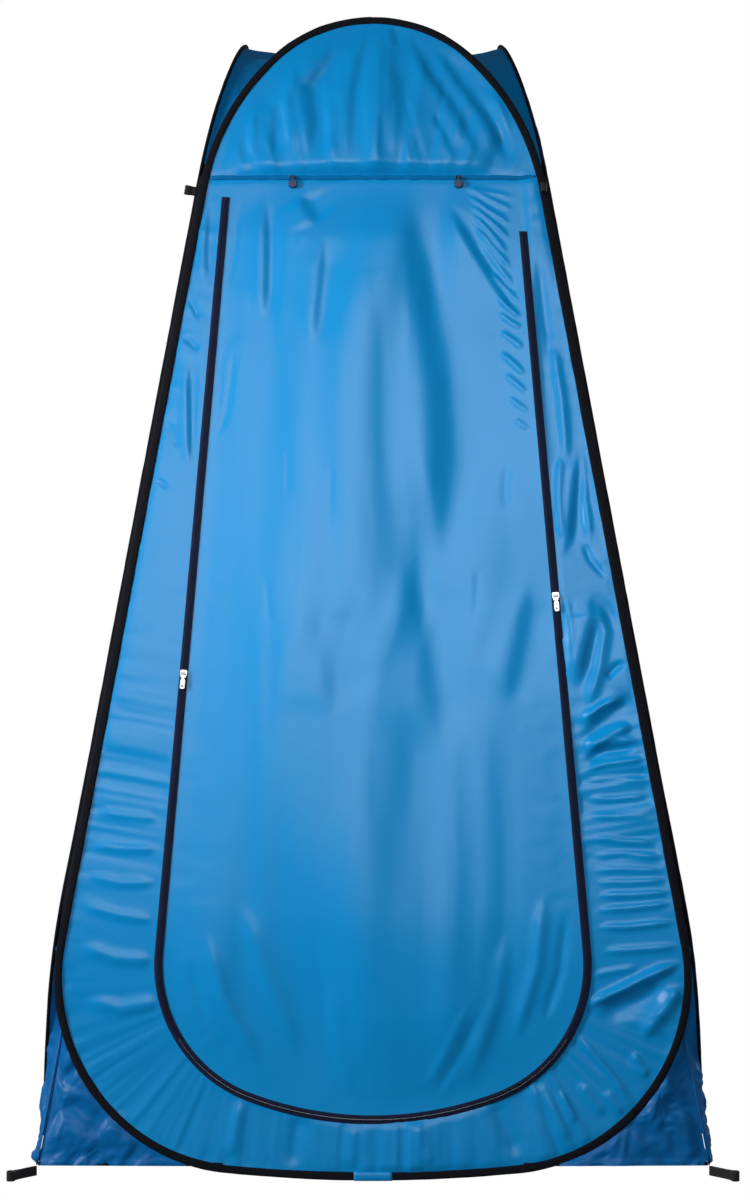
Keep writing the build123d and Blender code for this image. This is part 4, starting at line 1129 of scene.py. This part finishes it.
def skirt(side, sign, seed):
    """Cloth between the hoop's lower corner and the tent's corner; sign 1 is the right one."""
    hand = "right" if sign > 0 else "left"
    cell = 0.006 if QUICK else 0.003
    xs = lines([0.225, HALF_BASE], cell)
    sheet = Sheet(side, xs if sign > 0 else -xs[::-1], lines([HEM_Y, HEM_Y + 0.010, 0.362], cell))
    x, y = sheet.x, sheet.y
    hoop, along, normal = edge_field(x, y, HOOP)
    inset = (HALF_BASE - SIN * y - 0.0018) - np.abs(x)      # inside the corner line
    corner_n = np.zeros(x.shape + (2,))
    corner_n[..., 0], corner_n[..., 1] = np.sign(x) * SIDE_NORMAL[0], SIDE_NORMAL[1]
    crumples = octaves(x / 0.05 + 0.9 * noise(x / 0.07, y / 0.06, seed),
                       y / 0.034 + 0.6 * noise(x / 0.05, y / 0.09, seed + 1), seed + 2, 3)
    gathers = octaves(along / 0.032, hoop / 0.09, seed + 5, 2)
    fade = smooth(0.0, 0.02, hoop) * smooth(0.0, 0.035, inset)
    sheet.out = CLOTH_OUT + fade * (0.0040 * crumples + 0.0034 * gathers + 0.003)
    sheet.out += 0.0010 * (y < HEM_Y + 0.0099) * smooth(0.0, 0.004, inset)
    # 0 at the hoop, 1 at the corner, where the cloth falls in
    past_hoop = np.clip(hoop, 0, None)
    share = past_hoop / (past_hoop + np.clip(inset, 0, None) + 1e-6)
    sheet.shift -= np.sign(x) * share * tuck(y)
    sheet.out -= share * (tuck(y) + lean_in(y) + CLOTH_OUT)
    mask = (cell_mean(hoop) > 0.0015) & (cell_mean(inset) > -0.001)
    # the skirt's darker colour is painted shade
    cloth = sheet.piece(f"{side}_skirt_cloth_{hand}", mask, "cloth_skirt",
                        [(hoop, normal, -CLOTH_EDGE, 0.006), (-inset, corner_n, 0.0, 0.005)])
    attach(cloth, side, f"{side}_skirt_{hand}")
    hem(side, sign, hand)


def hem(side, sign, hand):
    """Folded hem: a thin dark roll along the skirt's bottom edge."""
    count = 80
    corner_x = HALF_BASE - SIN * HEM_Y
    x = np.linspace(0.236, corner_x - 0.002, count)
    share = np.clip((x - 0.255) / (corner_x - 0.255), 0, 1)
    fall = -share * (tuck(HEM_Y) + lean_in(HEM_Y) + CLOTH_OUT)
    points = np.stack([sign * (x - share * tuck(HEM_Y)), np.full(count, HEM_Y + 0.0022)], -1)
    roll = sweep(f"{side}_hem_{hand}", side, points, np.repeat([[0.0, 1.0]], count, 0),
                 rounded_section(0.0028, 0.0014, TAPE_MID, count=10), "binding_black",
                 closed=False, wobble=lambda across, height: (across, height + fall[:, None]))
    attach(roll, side)


for i, side in enumerate(SIDES):
    skirt(side, -1, 500 + 20 * i)
    skirt(side, 1, 510 + 20 * i)


# ------------------------------------------------------------------ roof gores
def arch_y(x):
    """Height of the hoop's crown and shoulders at x."""
    x = np.abs(x)
    crown = CROWN_C[1] + np.sqrt(np.maximum(CROWN_R ** 2 - x * x, 0))
    shoulder = SHOULDER_C[1] + np.sqrt(np.maximum(SHOULDER_R ** 2 - (x - SHOULDER_C[0]) ** 2, 0))
    return np.where(x <= CROWN_R * math.sin(math.radians(CROWN_DEG)), crown, shoulder)


def gore(side, seed):
    """A quarter of the roof, from the arch back to the plan diagonals."""
    half = 0.2735
    columns, rows = (61, 21) if QUICK else (141, 45)
    x, inward = np.meshgrid(np.linspace(-half, half, columns), np.linspace(0, 1, rows))
    arch = arch_y(x)
    out = 0.0012 + lean_in(arch)
    rim_y = -HALF_BASE + arch * SIN - out * COS
    rim_z = arch * COS + out * SIN
    span = np.maximum(-np.abs(x), rim_y) - rim_y
    outer = np.abs(x) / half
    sag = 0.014 * (1 - outer ** 2)
    z = rim_z - sag * inward - 0.030 * np.sin(np.pi * inward) * span / 0.27 * (0.35 + 0.65 * outer)
    wrinkles = (noise(x * 26 + 2.2 * inward, inward * 1.6, seed) * 0.0045
                + noise(x * 60, inward * 3.5, seed + 1) * 0.0016)
    z += (wrinkles * smooth(0, 0.25, inward) * smooth(0.0, 0.35, 1 - inward)
          * np.clip(span / 0.10, 0, 1))
    verts = turn(side, x, rim_y + span * inward, z).reshape(-1, 3)
    faces = [(j * columns + i, j * columns + i + 1, (j + 1) * columns + i + 1, (j + 1) * columns + i)
             for j in range(rows - 1) for i in range(columns - 1)]
    # the roof cloth's darker colour is painted shade
    cloth = new_mesh(side + "_roof_cloth", verts, faces, "cloth_roof")
    attach(cloth, side, side + "_roof_gore")
    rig.squash(cloth, "tent_fold", axis=tuple(panel_axes(side)[2]),
              anchor=tuple(flat(side, 0, 1.8, -0.006)), keep=0.03)


for i, side in enumerate(SIDES):
    gore(side, 700 + 10 * i)

# ------------------------------------------------------------------ webbing loops
STRAP_WIDTH = 0.0148
# strap section: across its width, through its thickness, in halves
STRAP_SECTION = [(-1, -1), (-0.6, -1), (0.6, -1), (1, -1), (1, 1), (0.6, 1), (-0.6, 1), (-1, 1)]


def strap(name, plan, thick, root, out, side_dir, up):
    """A flat strap along plan points (out, sideways) from root; its width stands along up."""
    plan = np.array(plan, float)
    tangent = np.gradient(plan, axis=0)
    tangent /= np.linalg.norm(tangent, axis=1, keepdims=True)
    normal = np.stack([-tangent[:, 1], tangent[:, 0]], -1)
    verts = []
    for point, across in zip(plan, normal):
        for wide, deep in STRAP_SECTION:
            x, y = point + across * (deep * thick / 2)
            verts.append(root + out * x + side_dir * y + up * (wide * STRAP_WIDTH / 2))
    rings, count = len(plan), len(STRAP_SECTION)
    faces = tube_faces(rings, count)
    faces += [tuple(range(count))[::-1], tuple(range((rings - 1) * count, rings * count))]
    return new_mesh(name, verts, faces, "webbing_black", shade_smooth=False)


def loop_plan(tail, eye, radius, gap):
    """Out along one ply, round the eye and back along the other ply."""
    def ply(shares, y):
        return [(tail + (eye - radius - tail) * t, y) for t in shares]

    bow = [(eye + radius * math.cos(a), radius * math.sin(a))
           for a in np.linspace(math.radians(205), math.radians(515), 26)]
    return ([(tail, -gap / 2)] + ply(np.linspace(0.15, 0.75, 6), -gap / 2) + bow
            + ply(np.linspace(0.75, 0.0, 7), gap / 2))


def corner_axes(sx, sy):
    """Plan directions out of a corner and along its face."""
    return np.array([sx, sy, 0]) / math.sqrt(2), np.array([-sy, sx, 0]) / math.sqrt(2)


for name, (sx, sy, body) in CORNERS.items():
    out, lateral = corner_axes(sx, sy)
    stake = strap(name + "_stake_strap",
                  loop_plan(tail=-0.046, eye=0.003, radius=0.0059, gap=0.0018), thick=0.0017,
                  root=np.array([sx * HALF_BASE, sy * HALF_BASE, 0.0078]),
                  out=out, side_dir=lateral, up=np.array([0, 0, 1.0]))
    attach(stake, body, name + "_stake_loop")

GUY_Y = 1.612
GUY_X = HALF_BASE - SIN * GUY_Y - HOOP_EDGE * math.sqrt(1 + SIN * SIN)
for side in SIDES:
    across, up, out = panel_axes(side)
    guy = strap(side + "_guy_strap",
                loop_plan(tail=0.0045, eye=0.019, radius=0.0048, gap=0.0016), thick=0.0015,
                root=flat(side, GUY_X, GUY_Y, 0.0), out=out, side_dir=across, up=up)
    attach(guy, side, side + "_guy_loop")

# ------------------------------------------------------------------ corner seams
KNEE_Z = 0.365                          # black seam above, blue below
CORD_HALF, CORD_DEEP = 0.0034, 0.0016


def cord(name, sx, sy, bottom, top, slot):
    """Oval roll of folded cloth that closes the channel between two neighbouring bindings."""
    out, lateral = corner_axes(sx, sy)
    rings, count = 40, 12
    verts = []
    for z in bottom + np.linspace(0, 1, rings) * (top - bottom):
        reach = HALF_BASE - LEAN * z - float(tuck(z / COS))
        centre = np.array([sx * reach, sy * reach, z]) + out * 0.0008
        # wider where the two hoops part at the foot of the corner
        half = CORD_HALF + 0.0030 * math.exp(-((z - KNEE_Z) / 0.09) ** 2)
        for a in np.linspace(0, 2 * math.pi, count, endpoint=False):
            verts.append(centre + out * (CORD_DEEP * math.cos(a)) + lateral * (half * math.sin(a)))
    faces = [face[:1] + face[:0:-1] for face in tube_faces(rings, count)]
    faces += [tuple(range(count))[::-1], tuple(range((rings - 1) * count, rings * count))]
    return new_mesh(name, verts, faces, slot)


for name, (sx, sy, body) in CORNERS.items():
    upper = cord(name + "_seam_cord", sx, sy, 0.36, 1.615, "binding_black")
    attach(upper, body, name + "_corner_seam")
    # the lower cord takes the skirt's darker colour, which is painted shade
    attach(cord(name + "_skirt_cord", sx, sy, 0.022, KNEE_Z, "cloth_skirt"), body)

# ------------------------------------------------------------------ world, lights, camera
scene = bpy.context.scene


def studio_world():
    """The camera sees plain white; the light on the tent is softer."""
    world = bpy.data.worlds.new("studio")
    scene.world = world
    world.use_nodes = True
    nodes, link = world.node_tree.nodes, world.node_tree.links.new
    seen = nodes["Background"]
    seen.inputs["Color"].default_value = (1, 1, 1, 1)
    seen.inputs["Strength"].default_value = 1.0
    path = nodes.new("ShaderNodeLightPath")
    glow = nodes.new("ShaderNodeBackground")
    glow.inputs["Color"].default_value = (0.93, 0.96, 1.0, 1)
    glow.inputs["Strength"].default_value = 0.09
    mix = nodes.new("ShaderNodeMixShader")
    link(path.outputs["Is Camera Ray"], mix.inputs["Fac"])
    link(glow.outputs[0], mix.inputs[1])
    link(seen.outputs[0], mix.inputs[2])
    link(mix.outputs[0], nodes["World Output"].inputs["Surface"])


def area(name, location, target, size, power, color=(1, 1, 1), size_y=None, spread=None):
    """Area light aimed at a target; power in watts, spread in degrees."""
    light = bpy.data.lights.new(name, "AREA")
    light.energy = power
    light.color = color
    light.size = size
    if size_y:
        light.shape = "RECTANGLE"
        light.size_y = size_y
    if spread:
        light.spread = math.radians(spread)
    lamp = bpy.data.objects.new(name, light)
    scene.collection.objects.link(lamp)
    lamp.location = location
    aim = Vector(target) - Vector(location)
    lamp.rotation_euler = aim.to_track_quat("-Z", "Y").to_euler()
    return lamp


def camera():
    data = bpy.data.cameras.new("camera")
    cam = bpy.data.objects.new("camera", data)
    scene.collection.objects.link(cam)
    cam.location = (0, -4.2, 0.9)
    cam.rotation_euler = (math.radians(90), 0, 0)
    data.sensor_fit = "VERTICAL"
    data.sensor_height = 36.0
    data.lens = 70.038
    data.shift_x = 0.00166667
    data.shift_y = 0.0025
    data.clip_end = 100
    scene.camera = cam


studio_world()
area("sheen", location=(-0.05, -4.3, 2.66), target=(-0.03, -0.40, 1.02), size=2.0, size_y=0.5,
     power=9.0, spread=57)
area("key", location=(-3.1, -2.1, 1.9), target=(0.0, -0.40, 0.98), size=0.7, power=29.0,
     color=(1, 0.99, 0.97), spread=85)
area("fill", location=(3.2, -3.4, 1.4), target=(0.1, -0.3, 1.0), size=1.6, power=4,
     color=(0.97, 0.98, 1))
area("top", location=(0.2, 0.8, 4.2), target=(0, 0, 1.2), size=2.0, power=4)
rim = area("rim_back", location=(0.5, 4.0, 2.4), target=(0, 0, 1.0), size=2.2, power=42)
rim.visible_glossy = False              # no white glare along the crown of the roof
for name, x in (("rear_left", -3.6), ("rear_right", 3.6)):
    area(name, location=(x, 2.6, 1.9), target=(0, 0.2, 1.0), size=1.2, power=26, spread=110)
camera()
scene.view_settings.view_transform = "Standard"
scene.view_settings.look = "None"

if SIZE:
    SIZE["after"] = [list(map(float, c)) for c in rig.bounds()]
    json.dump(SIZE, open("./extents.json", "w"), indent=1)
